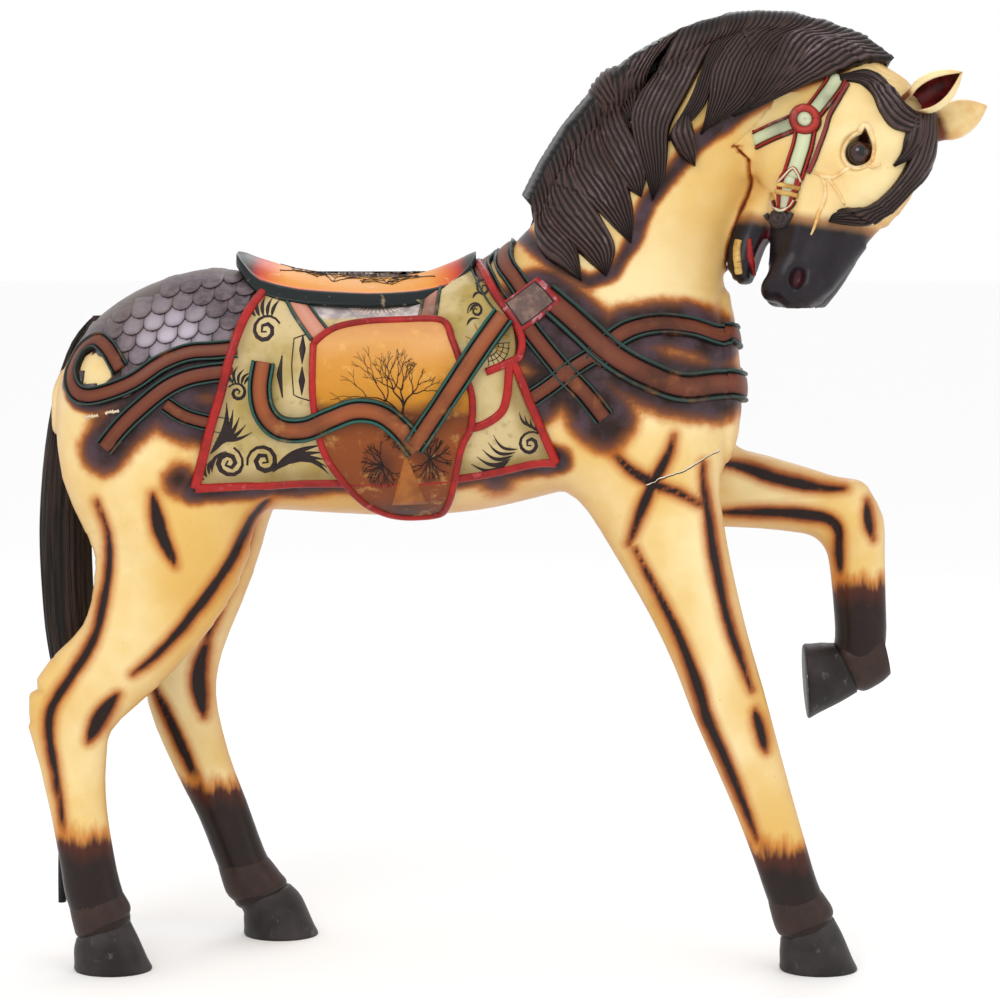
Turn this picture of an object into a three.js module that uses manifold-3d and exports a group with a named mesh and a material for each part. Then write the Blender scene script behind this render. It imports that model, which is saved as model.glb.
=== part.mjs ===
// A carved and painted wooden carousel horse with glass eyes and a horsehair tail.
// Millimetres, +Z up, +X towards the chest and head, +Y towards the horse's left side.
// The floor is Z = 0. Three hooves stand on it and the left fore leg is raised.
import * as THREE from 'three';
import Module from 'manifold-3d';

const wasm = await Module();
wasm.setup();

// ---------- driving dimensions ----------

const rightSide = -1; // sign of Y
const leftSide = 1;
const sides = {
  limb: 11, barrel: 22, neck: 16, face: 16, hoof: 16, seat: 16, ear: 10, hollow: 8, cap: 8, lock: 5, eye: 12,
};
const barrelSquareness = 2.3; // superellipse power of the barrel's section
const faceSquareness = 2.2;
const seatSquareness = 3;
const barrelEnds = { rump: 8, chest: 12 }; // how far its rounded ends reach past the first and last stations
const faceEnds = { skull: 6, jaw: 5 };
const beyond = 400; // farther out than any point of the horse's side
const relief = { out: 5, in: 9 }; // how far a carved strap stands out of and goes into the body

// Barrel, from rump to chest: x, height of its middle, half height, half width.
const barrelStations = [
  [-578, 726, 44, 44],
  [-559, 728, 76, 74],
  [-526, 732, 110, 108],
  [-467, 738, 140, 136],
  [-389, 742, 156, 148],
  [-312, 735, 147, 150],
  [-222, 725, 142, 150],
  [-131, 723, 143, 150],
  [-41, 744, 157, 145],
  [37, 766, 162, 136],
  [114, 757, 133, 126],
  [192, 752, 117, 112],
  [244, 749, 96, 88],
  [268, 746, 68, 58],
];

// Neck, from the withers to the poll: x, y, z, half depth, half width.
const neckStations = [
  [110, 0, 770, 150, 105],
  [133, 0, 842, 146, 92],
  [146, 0, 902, 130, 82],
  [164, 0, 962, 119, 74],
  [194, 0, 1012, 112, 66],
  [228, 0, 1064, 96, 60],
  [264, -1, 1110, 74, 56],
  [312, -3, 1139, 65, 54],
  [376, -5, 1140, 61, 52],
  [424, -8, 1124, 56, 50],
];

// The head has its own axes at the poll: down the face, out of the forehead and
// out of the right cheek. It is turned and tilted a little to the right.
const poll = new THREE.Vector3(431, -6, 1132);
const downFace = new THREE.Vector3(-0.27, -0.2, -0.94).normalize();
const outForehead = new THREE.Vector3(0.911, -0.37, -0.183)
  .addScaledVector(downFace, -new THREE.Vector3(0.911, -0.37, -0.183).dot(downFace))
  .normalize();
const outCheek = new THREE.Vector3().crossVectors(downFace, outForehead);

// Skull and upper jaw: distance down the face, middle, half depth, half width.
const skullStations = [
  [-24, 18, 66, 34],
  [0, 14, 86, 48],
  [35, 14, 102, 58],
  [78, 14, 109, 63],
  [121, 12, 105, 62],
  [160, 10, 90, 54],
  [198, 13, 66, 45],
  [237, 10, 52, 40],
  [268, 5, 41, 38],
  [286, -3, 28, 31],
  [294, -7, 12, 16],
];

// Lower jaw, dropped open a little, in the same columns.
const jawStations = [
  [150, -48, 30, 34],
  [185, -61, 24, 29],
  [222, -69, 23, 25],
  [256, -68, 20, 24],
  [275, -62, 10, 16],
];

const eye = { radius: 17, down: 95, out: 51, across: 43, clearance: 0.4 };
const eyeRings = [-0.66, -0.33, 0, 0.33, 0.66]; // shares of a quarter turn
const ear = { across: 32, tipAcross: 46, tipDown: -33, length: 46, radius: 20, flatness: 0.8, hollowShift: 7 };
// Along an ear: place, and size as a share of its radius.
const earShape = [[-0.25, 0.8], [0.15, 1], [0.45, 1.02], [0.75, 0.68], [1, 0.12]];
const earHollow = { deep: 0.5, wide: 0.62 };
const earRoots = { right: { down: 10, out: 104 }, left: { down: 21, out: 123 } };

// Legs: x, y, z, half depth along the horse, half width.
const rightForeLeg = [
  [140, -66, 742, 112, 56],
  [164, -78, 671, 100, 54],
  [184, -84, 607, 83, 50],
  [207, -88, 543, 69, 45],
  [231, -90, 479, 58, 41],
  [254, -91, 415, 51, 38],
  [276, -92, 350, 48, 36],
  [299, -93, 285, 43, 33],
  [322, -94, 220, 38, 28],
  [344, -95, 155, 35, 26],
  [361, -95, 103, 34, 30],
  [380, -95, 58, 35, 33],
];
const leftForearm = [
  [140, 66, 742, 112, 56],
  [185, 76, 668, 92, 54],
  [250, 82, 617, 60, 46],
  [330, 85, 601, 49, 38],
  [393, 85, 588, 43, 34],
  [440, 85, 574, 40, 33],
];
const leftForeCannon = [
  [442, 85, 590, 34, 28],
  [454, 85, 558, 41, 33],
  [460, 85, 509, 37, 27],
  [464, 85, 456, 35, 26],
  [466, 85, 404, 34, 30],
  [458, 85, 366, 33, 32],
];
const rightHindLeg = [
  [-438, -60, 722, 130, 66],
  [-441, -78, 646, 120, 60],
  [-434, -86, 556, 101, 54],
  [-455, -90, 482, 82, 46],
  [-496, -92, 412, 62, 39],
  [-560, -93, 344, 57, 34],
  [-562, -94, 272, 43, 29],
  [-555, -95, 207, 36, 26],
  [-545, -95, 142, 35, 26],
  [-538, -95, 103, 36, 30],
  [-524, -95, 60, 35, 33],
];
const leftHindLeg = [
  [-410, 60, 722, 124, 66],
  [-400, 78, 616, 90, 58],
  [-411, 84, 509, 70, 48],
  [-436, 88, 402, 53, 38],
  [-441, 90, 326, 46, 33],
  [-416, 92, 240, 38, 28],
  [-388, 94, 172, 34, 26],
  [-363, 95, 103, 33, 29],
  [-342, 95, 58, 34, 32],
];

// A hoof in its own axes: the sole is at height 0 and the toe points to +x.
const hoof = { halfLength: 49, halfWidth: 42, coronetBack: 16, coronetHeight: 56, coronetTilt: 0.38, crown: 6 };
// Up a hoof: height and size as shares, and the share of the coronet's slope.
const hoofLevels = [[0, 1, 0], [0.04, 1.02, 0], [0.55, 0.87, 0.5], [0.94, 0.74, 1], [1.04, 0.64, 1]];
const hoofPlaces = [
  { x: 396, y: -95, z: 0, pitch: 0 },
  { x: -513, y: -95, z: 0, pitch: 0 },
  { x: -310, y: 95, z: 0, pitch: 0 },
  { x: 393, y: 85, z: 346, pitch: 1.5 },
];

// Top line of the mane from the withers to the brow: x, z.
const crestLine = [[14, 930], [31, 988], [70, 1058], [111, 1111], [159, 1154], [208, 1183], [257, 1202],
  [306, 1210], [356, 1208], [406, 1195], [450, 1178], [488, 1152]];

// Locks of the mane: place along the crest from 0 to 1, tip x, tip z, sideways bow.
const maneLocks = [
  [0.08, 87, 885, -10],
  [0.22, 118, 890, -18],
  [0.36, 150, 930, -22],
  [0.48, 176, 986, -22],
  [0.58, 229, 1030, -16],
  [0.66, 240, 1070, -16],
  [0.78, 305, 1104, -8],
  [0.9, 363, 1142, 0],
];
const lockSize = { spread: 0.05, tipSpread: 3, halfWidth: 26, halfThickness: 14, lie: 3, taper: 0.86 };
const crestCap = { halfDepth: 13, halfWidth: 24, y: -2 };
const lockPlaces = [0, 0.22, 0.48, 0.76, 1];

// Forelock: down the face, out of the forehead, across, half width.
const forelock = [[-44, 60, 8, 26], [-12, 104, 16, 24], [40, 121, 26, 22], [90, 112, 40, 19], [132, 88, 52, 14],
  [158, 52, 56, 5]];
const forelockSink = 4;
const forelockFlatness = 0.6;

// Saddle seat, from cantle to pommel: x, top, bottom, half width.
const seatStations = [
  [-352, 919, 898, 46],
  [-320, 909, 866, 84],
  [-268, 895, 850, 98],
  [-183, 886, 846, 98],
  [-120, 893, 848, 86],
  [-80, 905, 858, 68],
  [-46, 919, 894, 38],
];

// Saddle blanket: its back and front edges from the spine down to the hem, as x.
const blanket = {
  back: [-318, -330, -352, -378, -398],
  front: [-56, -24, 6, 12, 58],
  hemAngle: -0.74,
  lift: 7,
  sink: 12,
  rowsAround: 8,
  rowsAlong: 6,
};

// Saddle flap: height, back edge x, front edge x.
const flapRows = [[830, -214, -96], [806, -246, -74], [745, -249, -52], [690, -240, -56], [642, -214, -72],
  [606, -178, -84], [588, -146, -98]];
const flapLayer = { lift: 15, sink: 14, rowsAlong: 5 };
const seatEnds = 4;

// Carved straps on each flank: x and z along the middle, and the width.
const flankStraps = [
  { width: 36, route: [[44, 863], [81, 832], [124, 794], [176, 765], [222, 751], [256, 747]] },
  { width: 27, route: [[110, 786], [138, 818], [176, 829], [218, 826], [250, 814]] },
  { width: 30, route: [[14, 838], [44, 797], [80, 757], [112, 720]] },
  { width: 26, route: [[22, 742], [62, 766], [112, 796]] },
  { width: 24, route: [[-345, 800], [-376, 800], [-404, 796], [-456, 768], [-504, 747], [-530, 741], [-546, 752],
    [-550, 776], [-538, 798], [-516, 806], [-500, 794], [-486, 774]] },
  { width: 24, route: [[-352, 773], [-404, 766], [-456, 734], [-504, 684]] },
];
// Two straps over the withers, down to the keeper plate: x of the middle, spine first.
const withersStraps = { width: 27, lift: 6, lowAngle: 0.72, rowsAround: 4, routes: [[-10, 0, 31], [-40, -30, 2]] };
const keeper = { width: 54, route: [[1, 840], [46, 880]] };
const stirrupStraps = [
  { width: 25, route: [[-14, 834], [-55, 780], [-95, 724], [-127, 684]] },
  { width: 25, route: [[-310, 784], [-313, 745], [-295, 708], [-258, 705], [-212, 722], [-164, 720], [-132, 696]] },
];

// The tail: x, z, half depth, half width. It hangs in the cleft of the rump.
const tailStations = [
  [-532, 838, 9, 9],
  [-552, 796, 22, 20],
  [-571, 703, 30, 28],
  [-580, 572, 37, 31],
  [-576, 441, 37, 31],
  [-563, 335, 35, 29],
  [-563, 229, 32, 25],
  [-580, 135, 19, 16],
  [-592, 66, 6, 6],
];
const tailClearance = 0.6;

const sliver = 0.05; // facets thinner than this, left where layers cross, are merged into their neighbours

// ---------- geometry helpers ----------

const vector = (x, y, z) => new THREE.Vector3(x, y, z);
const signedPower = (value, power) => Math.sign(value) * Math.abs(value) ** power;

// Rows of numbers, filled in between by a Catmull-Rom curve through every column.
function smooth(rows, perSpan) {
  const filled = [];
  const row = (i) => rows[Math.min(Math.max(i, 0), rows.length - 1)];
  for (let i = 0; i < rows.length - 1; i += 1) {
    for (let k = 0; k < perSpan; k += 1) {
      const t = k / perSpan;
      filled.push(rows[i].map((value, column) => {
        const before = row(i - 1)[column];
        const after = row(i + 1)[column];
        const later = row(i + 2)[column];
        const slope = (after - before) / 2;
        const nextSlope = (later - value) / 2;
        const bend = 3 * (after - value) - 2 * slope - nextSlope;
        const twist = 2 * (value - after) + slope + nextSlope;
        return value + slope * t + bend * t * t + twist * t * t * t;
      }));
    }
  }
  filled.push([...rows[rows.length - 1]]);
  return filled;
}

// A closed solid from vertices and triangles. The triangles are turned to face out.
function closedSolid(vertices, triangles) {
  let volume = 0;
  for (let i = 0; i < triangles.length; i += 3) {
    const [a, b, c] = [vertices[triangles[i]], vertices[triangles[i + 1]], vertices[triangles[i + 2]]];
    volume += a.dot(b.clone().cross(c));
  }
  const faces = volume < 0 ? [...triangles].reverse() : triangles;
  const mesh = new wasm.Mesh({
    numProp: 3,
    vertProperties: new Float32Array(vertices.flatMap((v) => v.toArray())),
    triVerts: new Uint32Array(faces),
  });
  mesh.merge();
  return new wasm.Manifold(mesh);
}

// A skin over a row of rings with equal counts of points, with a pole at each end.
function loft(rings, startPole, endPole) {
  const count = rings[0].length;
  const vertices = [...rings.flat(), startPole, endPole];
  const start = vertices.length - 2;
  const end = vertices.length - 1;
  const last = (rings.length - 1) * count;
  const triangles = [];
  for (let i = 0; i < count; i += 1) {
    const j = (i + 1) % count;
    triangles.push(start, j, i, end, last + i, last + j);
    for (let r = 0; r < last; r += count) {
      triangles.push(r + i, r + j, r + count + j, r + i, r + count + j, r + count + i);
    }
  }
  return closedSolid(vertices, triangles);
}

// One superellipse ring about a centre, in the plane of two axes.
function ring(centre, deepAxis, wideAxis, deep, wide, count, squareness = 2) {
  return Array.from({ length: count }, (_, i) => {
    const angle = (2 * Math.PI * (i + 0.5)) / count;
    return centre.clone()
      .addScaledVector(deepAxis, deep * signedPower(Math.cos(angle), 2 / squareness))
      .addScaledVector(wideAxis, wide * signedPower(Math.sin(angle), 2 / squareness));
  });
}

// A leg, neck or lock: rings square to a smooth path, with rounded ends.
function limb(stations, { count = sides.limb, grow = 0, roundness = 0.5, sideways = vector(0, 1, 0) } = {}) {
  const rows = smooth(stations, 1);
  const points = rows.map(([x, y, z]) => vector(x, y, z));
  const tangents = points.map((_, i) => points[Math.min(i + 1, points.length - 1)].clone()
    .sub(points[Math.max(i - 1, 0)]).normalize());
  const rings = rows.map(([, , , deep, wide], i) => {
    const wideAxis = sideways.clone().addScaledVector(tangents[i], -sideways.dot(tangents[i])).normalize();
    const deepAxis = tangents[i].clone().cross(wideAxis);
    return ring(points[i], deepAxis, wideAxis, deep + grow, wide + grow, count);
  });
  const last = rows.length - 1;
  const endReach = (i) => roundness * Math.min(rows[i][3], rows[i][4]) + grow;
  return loft(
    rings,
    points[0].clone().addScaledVector(tangents[0], -endReach(0)),
    points[last].clone().addScaledVector(tangents[last], endReach(last)),
  );
}

// A thin carved layer: a grid of outer points and the same grid of inner points.
function shell(outer, inner) {
  const rows = outer.length;
  const columns = outer[0].length;
  const vertices = [...outer.flat(), ...inner.flat()];
  const inside = rows * columns;
  const triangles = [];
  const quad = (a, b, c, d) => triangles.push(a, b, c, a, c, d);
  for (let r = 0; r < rows - 1; r += 1) {
    for (let c = 0; c < columns - 1; c += 1) {
      const a = r * columns + c;
      quad(a, a + 1, a + columns + 1, a + columns);
      quad(inside + a, inside + a + columns, inside + a + columns + 1, inside + a + 1);
    }
  }
  const rim = [];
  for (let c = 0; c < columns - 1; c += 1) rim.push(c);
  for (let r = 0; r < rows - 1; r += 1) rim.push(r * columns + columns - 1);
  for (let c = columns - 1; c > 0; c -= 1) rim.push((rows - 1) * columns + c);
  for (let r = rows - 1; r > 0; r -= 1) rim.push(r * columns);
  rim.forEach((a, i) => {
    const b = rim[(i + 1) % rim.length];
    quad(b, a, inside + a, inside + b);
  });
  return closedSolid(vertices, triangles);
}

const joined = (solids) => solids.reduce((all, one) => all.add(one));

// Only the outer skin of a joined solid: pockets shut in between its layers are filled.
const filledIn = (solid) => solid.decompose().reduce((best, one) => (one.volume() > best.volume() ? one : best));

function toGeometry(solid) {
  const { vertProperties, triVerts } = solid.getMesh();
  const geometry = new THREE.BufferGeometry();
  geometry.setAttribute('position', new THREE.BufferAttribute(new Float32Array(vertProperties), 3));
  geometry.setIndex(new THREE.BufferAttribute(new Uint32Array(triVerts), 1));
  geometry.computeVertexNormals();
  return geometry;
}

// ---------- the body ----------

const barrelRows = smooth(barrelStations, 2);

function barrelAt(x) {
  const next = barrelRows.findIndex((row) => row[0] >= x);
  const [a, b] = [barrelRows[Math.max(next - 1, 0)], barrelRows[Math.max(next, 1)]];
  const t = (x - a[0]) / (b[0] - a[0]);
  const [middle, halfHeight, halfWidth] = [1, 2, 3].map((column) => a[column] + t * (b[column] - a[column]));
  return { middle, halfHeight, halfWidth };
}

// A point on the barrel at a height angle: a quarter turn is the spine, 0 the widest line.
function barrelPoint(x, angle, lift) {
  const { middle, halfHeight, halfWidth } = barrelAt(x);
  return vector(
    x,
    (halfWidth + lift) * signedPower(Math.cos(angle), 2 / barrelSquareness),
    middle + (halfHeight + lift) * signedPower(Math.sin(angle), 2 / barrelSquareness),
  );
}

// A point on the barrel's flank at a given height.
function flankPoint(x, z, side, lift) {
  const { middle, halfHeight, halfWidth } = barrelAt(x);
  const level = Math.min(Math.abs((z - middle) / (halfHeight + lift)), 1) ** barrelSquareness;
  return vector(x, side * (halfWidth + lift) * (1 - level) ** (1 / barrelSquareness), z);
}

function barrel() {
  const rings = barrelStations.map(([x, middle, halfHeight, halfWidth]) => ring(
    vector(x, 0, middle), vector(0, 0, 1), vector(0, 1, 0), halfHeight, halfWidth, sides.barrel, barrelSquareness,
  ));
  const [rump, chest] = [barrelStations[0], barrelStations[barrelStations.length - 1]];
  return loft(rings, vector(rump[0] - barrelEnds.rump, 0, rump[1]), vector(chest[0] + barrelEnds.chest, 0, chest[1]));
}

const headPoint = (down, out, across) => poll.clone()
  .addScaledVector(downFace, down)
  .addScaledVector(outForehead, out)
  .addScaledVector(outCheek, across);

function facePart(stations, tipReach) {
  const rows = smooth(stations, 1);
  const rings = rows.map(([down, middle, deep, wide]) => ring(
    headPoint(down, middle, 0), outForehead, outCheek, deep, wide, sides.face, faceSquareness,
  ));
  const [first, last] = [stations[0], stations[stations.length - 1]];
  return loft(rings, headPoint(first[0] - tipReach, first[1], 0), headPoint(last[0] + tipReach, last[1], 0));
}

function earSolid(side) {
  const { down, out } = side > 0 ? earRoots.right : earRoots.left;
  const base = headPoint(down, out, side * ear.across);
  const tip = headPoint(ear.tipDown, out + ear.length, side * ear.tipAcross);
  const along = (t) => base.clone().lerp(tip, t).toArray();
  const outside = earShape.map(([t, size]) => [...along(t), ear.radius * size * ear.flatness, ear.radius * size]);
  const hollow = earShape.slice(1).map(([t, size]) => {
    const point = base.clone().lerp(tip, t)
      .addScaledVector(outForehead, ear.hollowShift)
      .addScaledVector(downFace, ear.hollowShift);
    return [...point.toArray(), ear.radius * size * earHollow.deep, ear.radius * size * earHollow.wide];
  });
  return limb(outside, { count: sides.ear, sideways: outCheek, roundness: 0.3 })
    .subtract(limb(hollow, { count: sides.hollow, sideways: outCheek, roundness: 0.2 }));
}

// A hoof: rings from the sole up to the sloping coronet.
function hoofSolid({ x, y, z, pitch }) {
  const rings = hoofLevels.map(([height, size, tilt]) => {
    const lean = hoof.coronetTilt * tilt;
    const lengthways = vector(Math.cos(lean), 0, Math.sin(lean));
    const middle = vector(-hoof.coronetBack * height, 0, hoof.coronetHeight * height);
    return ring(middle, lengthways, vector(0, 1, 0), hoof.halfLength * size, hoof.halfWidth * size, sides.hoof);
  });
  const top = vector(-hoof.coronetBack, 0, hoof.coronetHeight + hoof.crown);
  return loft(rings, vector(0, 0, 0), top)
    .rotate([0, THREE.MathUtils.radToDeg(pitch), 0])
    .translate([x, y, z]);
}

function body() {
  return joined([
    barrel(),
    limb(neckStations, { count: sides.neck }),
    facePart(skullStations, faceEnds.skull),
    facePart(jawStations, faceEnds.jaw),
    earSolid(1),
    earSolid(-1),
    ...[rightForeLeg, leftForearm, leftForeCannon, rightHindLeg, leftHindLeg].map((leg) => limb(leg)),
    ...hoofPlaces.map(hoofSolid),
  ]);
}

// ---------- saddlery ----------

function blanketSolid() {
  const around = blanket.rowsAround;
  const along = blanket.rowsAlong;
  const edge = (list, t) => smooth(list.map((x) => [x]), 4)[Math.round(t * (list.length - 1) * 4)][0];
  const surface = (lift) => {
    const rows = [];
    for (let j = -around + 1; j < around; j += 1) {
      const t = Math.abs(j) / (around - 1);
      const angle = Math.PI / 2 - t * (Math.PI / 2 - blanket.hemAngle);
      const row = [];
      for (let i = 0; i <= along; i += 1) {
        const x = edge(blanket.back, t) + (i / along) * (edge(blanket.front, t) - edge(blanket.back, t));
        const point = barrelPoint(x, angle, lift);
        point.y *= Math.sign(j);
        row.push(point);
      }
      rows.push(row);
    }
    return rows;
  };
  return shell(surface(blanket.lift), surface(-blanket.sink));
}

function flapSolid(side) {
  const along = flapLayer.rowsAlong;
  const surface = (lift) => flapRows.map(([z, back, front]) => Array.from(
    { length: along + 1 },
    (_, i) => flankPoint(back + (i / along) * (front - back), z, side, lift),
  ));
  return shell(surface(flapLayer.lift), surface(-flapLayer.sink));
}

function seatSolid() {
  const rings = smooth(seatStations, 2).map(([x, top, bottom, halfWidth]) => ring(
    vector(x, 0, (top + bottom) / 2), vector(0, 0, 1), vector(0, 1, 0),
    (top - bottom) / 2, halfWidth, sides.seat, seatSquareness,
  ));
  const pole = ([x, top, bottom], reach) => vector(x + reach, 0, (top + bottom) / 2);
  return loft(rings, pole(seatStations[0], -seatEnds), pole(seatStations[seatStations.length - 1], seatEnds));
}

// Finds where a carved body's surface lies under a point of the flank.
function surveyor(solid) {
  const target = new THREE.Mesh(toGeometry(solid), new THREE.MeshBasicMaterial({ side: THREE.DoubleSide }));
  const caster = new THREE.Raycaster();
  return (x, z, side) => {
    caster.set(vector(x, side * beyond, z), vector(0, -side, 0));
    const [hit] = caster.intersectObject(target);
    return hit ? hit.point.y : null;
  };
}

// A strap in relief: a ribbon whose edges are laid on the surface below them.
function strap(surfaceY, { route, width }, side) {
  const rows = smooth(route, 1);
  let known = null;
  const edges = [-1, 1];
  const lay = (out) => rows.map(([x, z], i) => {
    const [fromX, fromZ] = rows[Math.max(i - 1, 0)];
    const [toX, toZ] = rows[Math.min(i + 1, rows.length - 1)];
    const length = Math.hypot(toX - fromX, toZ - fromZ);
    return edges.map((edge) => {
      const px = x - (edge * width * (toZ - fromZ)) / (2 * length);
      const pz = z + (edge * width * (toX - fromX)) / (2 * length);
      known = surfaceY(px, pz, side) ?? known;
      return vector(px, known + side * out, pz);
    });
  });
  return shell(lay(relief.out), lay(-relief.in));
}

function withersStrap(route) {
  const around = withersStraps.rowsAround;
  const surface = (lift) => {
    const rows = [];
    for (let j = -around; j <= around; j += 1) {
      const t = Math.abs(j) / around;
      const middle = smooth(route.map((x) => [x]), around / 2)[Math.abs(j)][0];
      const angle = Math.PI / 2 - t * (Math.PI / 2 - withersStraps.lowAngle);
      rows.push([-0.5, 0.5].map((edge) => {
        const point = barrelPoint(middle + edge * withersStraps.width, angle, lift);
        point.y *= Math.sign(j);
        return point;
      }));
    }
    return rows;
  };
  return shell(surface(withersStraps.lift), surface(-relief.in));
}

// ---------- hair ----------

function maneSolid(surfaceY) {
  const crest = smooth(crestLine, 6);
  const crestAt = (place) => crest[Math.round(Math.min(Math.max(place, 0), 1) * (crest.length - 1))];
  const capRows = crestLine.map(([x, z]) => [x, crestCap.y, z, crestCap.halfDepth, crestCap.halfWidth]);
  const cap = limb(capRows, { count: sides.cap, roundness: 0.9 });
  const lock = (place, tipX, tipZ, bow) => {
    const [rootX, rootZ] = crestAt(place);
    const length = Math.hypot(tipX - rootX, tipZ - rootZ);
    const across = [(tipZ - rootZ) / length, -(tipX - rootX) / length];
    const stations = lockPlaces.map((t) => {
      const sway = bow * Math.sin(Math.PI * t);
      const x = rootX + t * (tipX - rootX) - across[0] * sway;
      const z = rootZ + t * (tipZ - rootZ) - across[1] * sway;
      const skin = surfaceY(x, z, rightSide) ?? -crestCap.halfWidth / 2;
      const taper = 1 - lockSize.taper * t ** 2.2;
      return [x, skin - lockSize.lie, z, lockSize.halfWidth * taper, lockSize.halfThickness * (0.4 + 0.6 * taper)];
    });
    return limb(stations, { count: sides.lock, roundness: 0.8 });
  };
  const locks = maneLocks.flatMap(([place, tipX, tipZ, bow]) => [-1, 1].map(
    (step) => lock(place + step * lockSize.spread, tipX + step * lockSize.tipSpread, tipZ, bow),
  ));
  return joined([cap, ...locks]);
}

function forelockSolid() {
  const stations = forelock.map(([down, out, across, halfWidth]) => [
    ...headPoint(down, out - forelockSink, across).toArray(), halfWidth * forelockFlatness, halfWidth,
  ]);
  return limb(stations, { count: sides.cap, sideways: outCheek });
}

const tailRows = tailStations.map(([x, z, deep, wide]) => [x, 0, z, deep, wide]);

// ---------- the pieces ----------

const eyeCentre = (side) => headPoint(eye.down, eye.out, side * eye.across);

function horseSolid() {
  const bare = body();
  const dressed = joined([bare, blanketSolid(), flapSolid(rightSide), flapSolid(leftSide)]);
  const surfaceY = surveyor(dressed);
  const straps = [rightSide, leftSide].flatMap(
    (side) => [...flankStraps, keeper, ...stirrupStraps].map((one) => strap(surfaceY, one, side)),
  );
  const overWithers = withersStraps.routes.map(withersStrap);
  const carved = joined([dressed, seatSolid(), ...straps, ...overWithers, maneSolid(surveyor(bare)), forelockSolid()]);
  const sockets = [1, -1].map((side) => eyeball(side, eye.radius + eye.clearance));
  return filledIn(carved
    .subtract(limb(tailRows, { grow: tailClearance }))
    .subtract(sockets[0])
    .subtract(sockets[1])).simplify(sliver);
}

function eyeball(side, radius) {
  const centre = eyeCentre(side);
  const rings = eyeRings.map((share) => {
    const angle = (share * Math.PI) / 2;
    return ring(
      centre.clone().addScaledVector(outCheek, radius * Math.sin(angle)),
      downFace, outForehead, radius * Math.cos(angle), radius * Math.cos(angle), sides.eye,
    );
  });
  return loft(
    rings,
    centre.clone().addScaledVector(outCheek, -radius),
    centre.clone().addScaledVector(outCheek, radius),
  );
}

const paintedWood = new THREE.MeshStandardMaterial({ color: 0xe0b66c, roughness: 0.35, metalness: 0 });
const darkGlass = new THREE.MeshStandardMaterial({ color: 0x2a0d08, roughness: 0.05, metalness: 0 });
const blackHair = new THREE.MeshStandardMaterial({ color: 0x17120f, roughness: 0.5, metalness: 0 });

function piece(name, solid, material) {
  const mesh = new THREE.Mesh(toGeometry(solid), material);
  mesh.name = name;
  return mesh;
}

const group = new THREE.Group();
group.add(
  piece('carved_horse', horseSolid(), paintedWood),
  piece('right_glass_eye', eyeball(1, eye.radius), darkGlass),
  piece('left_glass_eye', eyeball(-1, eye.radius), darkGlass),
  piece('horsehair_tail', limb(tailRows), blackHair),
);

export default group;
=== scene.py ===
import math
import bpy
import numpy as np
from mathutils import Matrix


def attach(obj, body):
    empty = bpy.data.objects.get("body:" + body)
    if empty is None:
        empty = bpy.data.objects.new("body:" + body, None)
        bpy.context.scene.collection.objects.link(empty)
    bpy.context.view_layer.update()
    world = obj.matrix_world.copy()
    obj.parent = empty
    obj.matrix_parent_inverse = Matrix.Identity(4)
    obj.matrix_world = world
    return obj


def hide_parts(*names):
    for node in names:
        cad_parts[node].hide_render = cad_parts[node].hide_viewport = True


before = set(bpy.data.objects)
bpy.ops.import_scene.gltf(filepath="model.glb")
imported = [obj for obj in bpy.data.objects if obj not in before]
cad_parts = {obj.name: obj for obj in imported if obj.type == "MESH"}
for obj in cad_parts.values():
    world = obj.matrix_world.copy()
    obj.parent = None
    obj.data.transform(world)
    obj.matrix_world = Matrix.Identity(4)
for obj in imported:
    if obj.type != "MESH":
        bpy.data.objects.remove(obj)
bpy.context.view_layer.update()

# A carved and painted wooden carousel horse. Shapes are worked out in millimetres and
# written in metres. +X is the head, -Y the horse's right side, the floor is Z = 0.
metre = 0.001
far = 400.0
print("frame loaded")


# curves and small sums

def smoothRows(rows, perSpan):  # Catmull-Rom through every column, with both ends repeated
    rows = np.asarray(rows, float)
    padded = np.vstack([rows[:1], rows, rows[-1:]])
    before, here, after, later = padded[:-3], padded[1:-2], padded[2:-1], padded[3:]
    t = (np.arange(perSpan) / perSpan)[None, :, None]
    start, end = [(b - a)[:, None, :] / 2 for a, b in ((before, after), (here, later))]
    step = (after - here)[:, None, :]
    squared, cubed = 3 * step - 2 * start - end, start + end - 2 * step
    filled = here[:, None, :] + start * t + squared * t**2 + cubed * t**3
    return np.vstack([filled.reshape(-1, rows.shape[1]), rows[-1:]])


def unit(vectors):  # each vector over its own length
    return vectors / np.maximum(np.linalg.norm(vectors, axis=-1, keepdims=True), 1e-9)


def stepUp(values, low, high):  # 0 below low, 1 above high, smooth between
    t = np.clip((values - low) / (high - low), 0, 1)
    return t * t * (3 - 2 * t)


def softUnion(a, b, blend):  # the smaller distance, with a fillet where both are near
    overlap = np.maximum(blend - np.abs(a - b), 0) / blend
    return np.minimum(a, b) - overlap * overlap * blend / 4


def softCut(a, hole, blend):  # a less the hole: the soft union of minus a and the hole, turned round
    return -softUnion(-a, hole, blend)


def lineDistance(points, line):  # to a polyline in any number of dimensions, and how far along it
    line = np.asarray(line, float)
    best = np.full(len(points), far)
    along = np.zeros(len(points))
    lengths = np.linalg.norm(np.diff(line, axis=0), axis=1)
    travelled = 0.0
    for a, b, length in zip(line[:-1], line[1:], lengths):
        t = np.clip((points - a) @ (b - a) / length**2, 0, 1)
        away = np.linalg.norm(points - a - t[:, None] * (b - a), axis=1)
        nearer = away < best
        best = np.where(nearer, away, best)
        along = np.where(nearer, (travelled + t * length) / lengths.sum(), along)
        travelled += length
    return best, along


# the horse's own sizes: the barrel, the neck, the head and the legs

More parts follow.
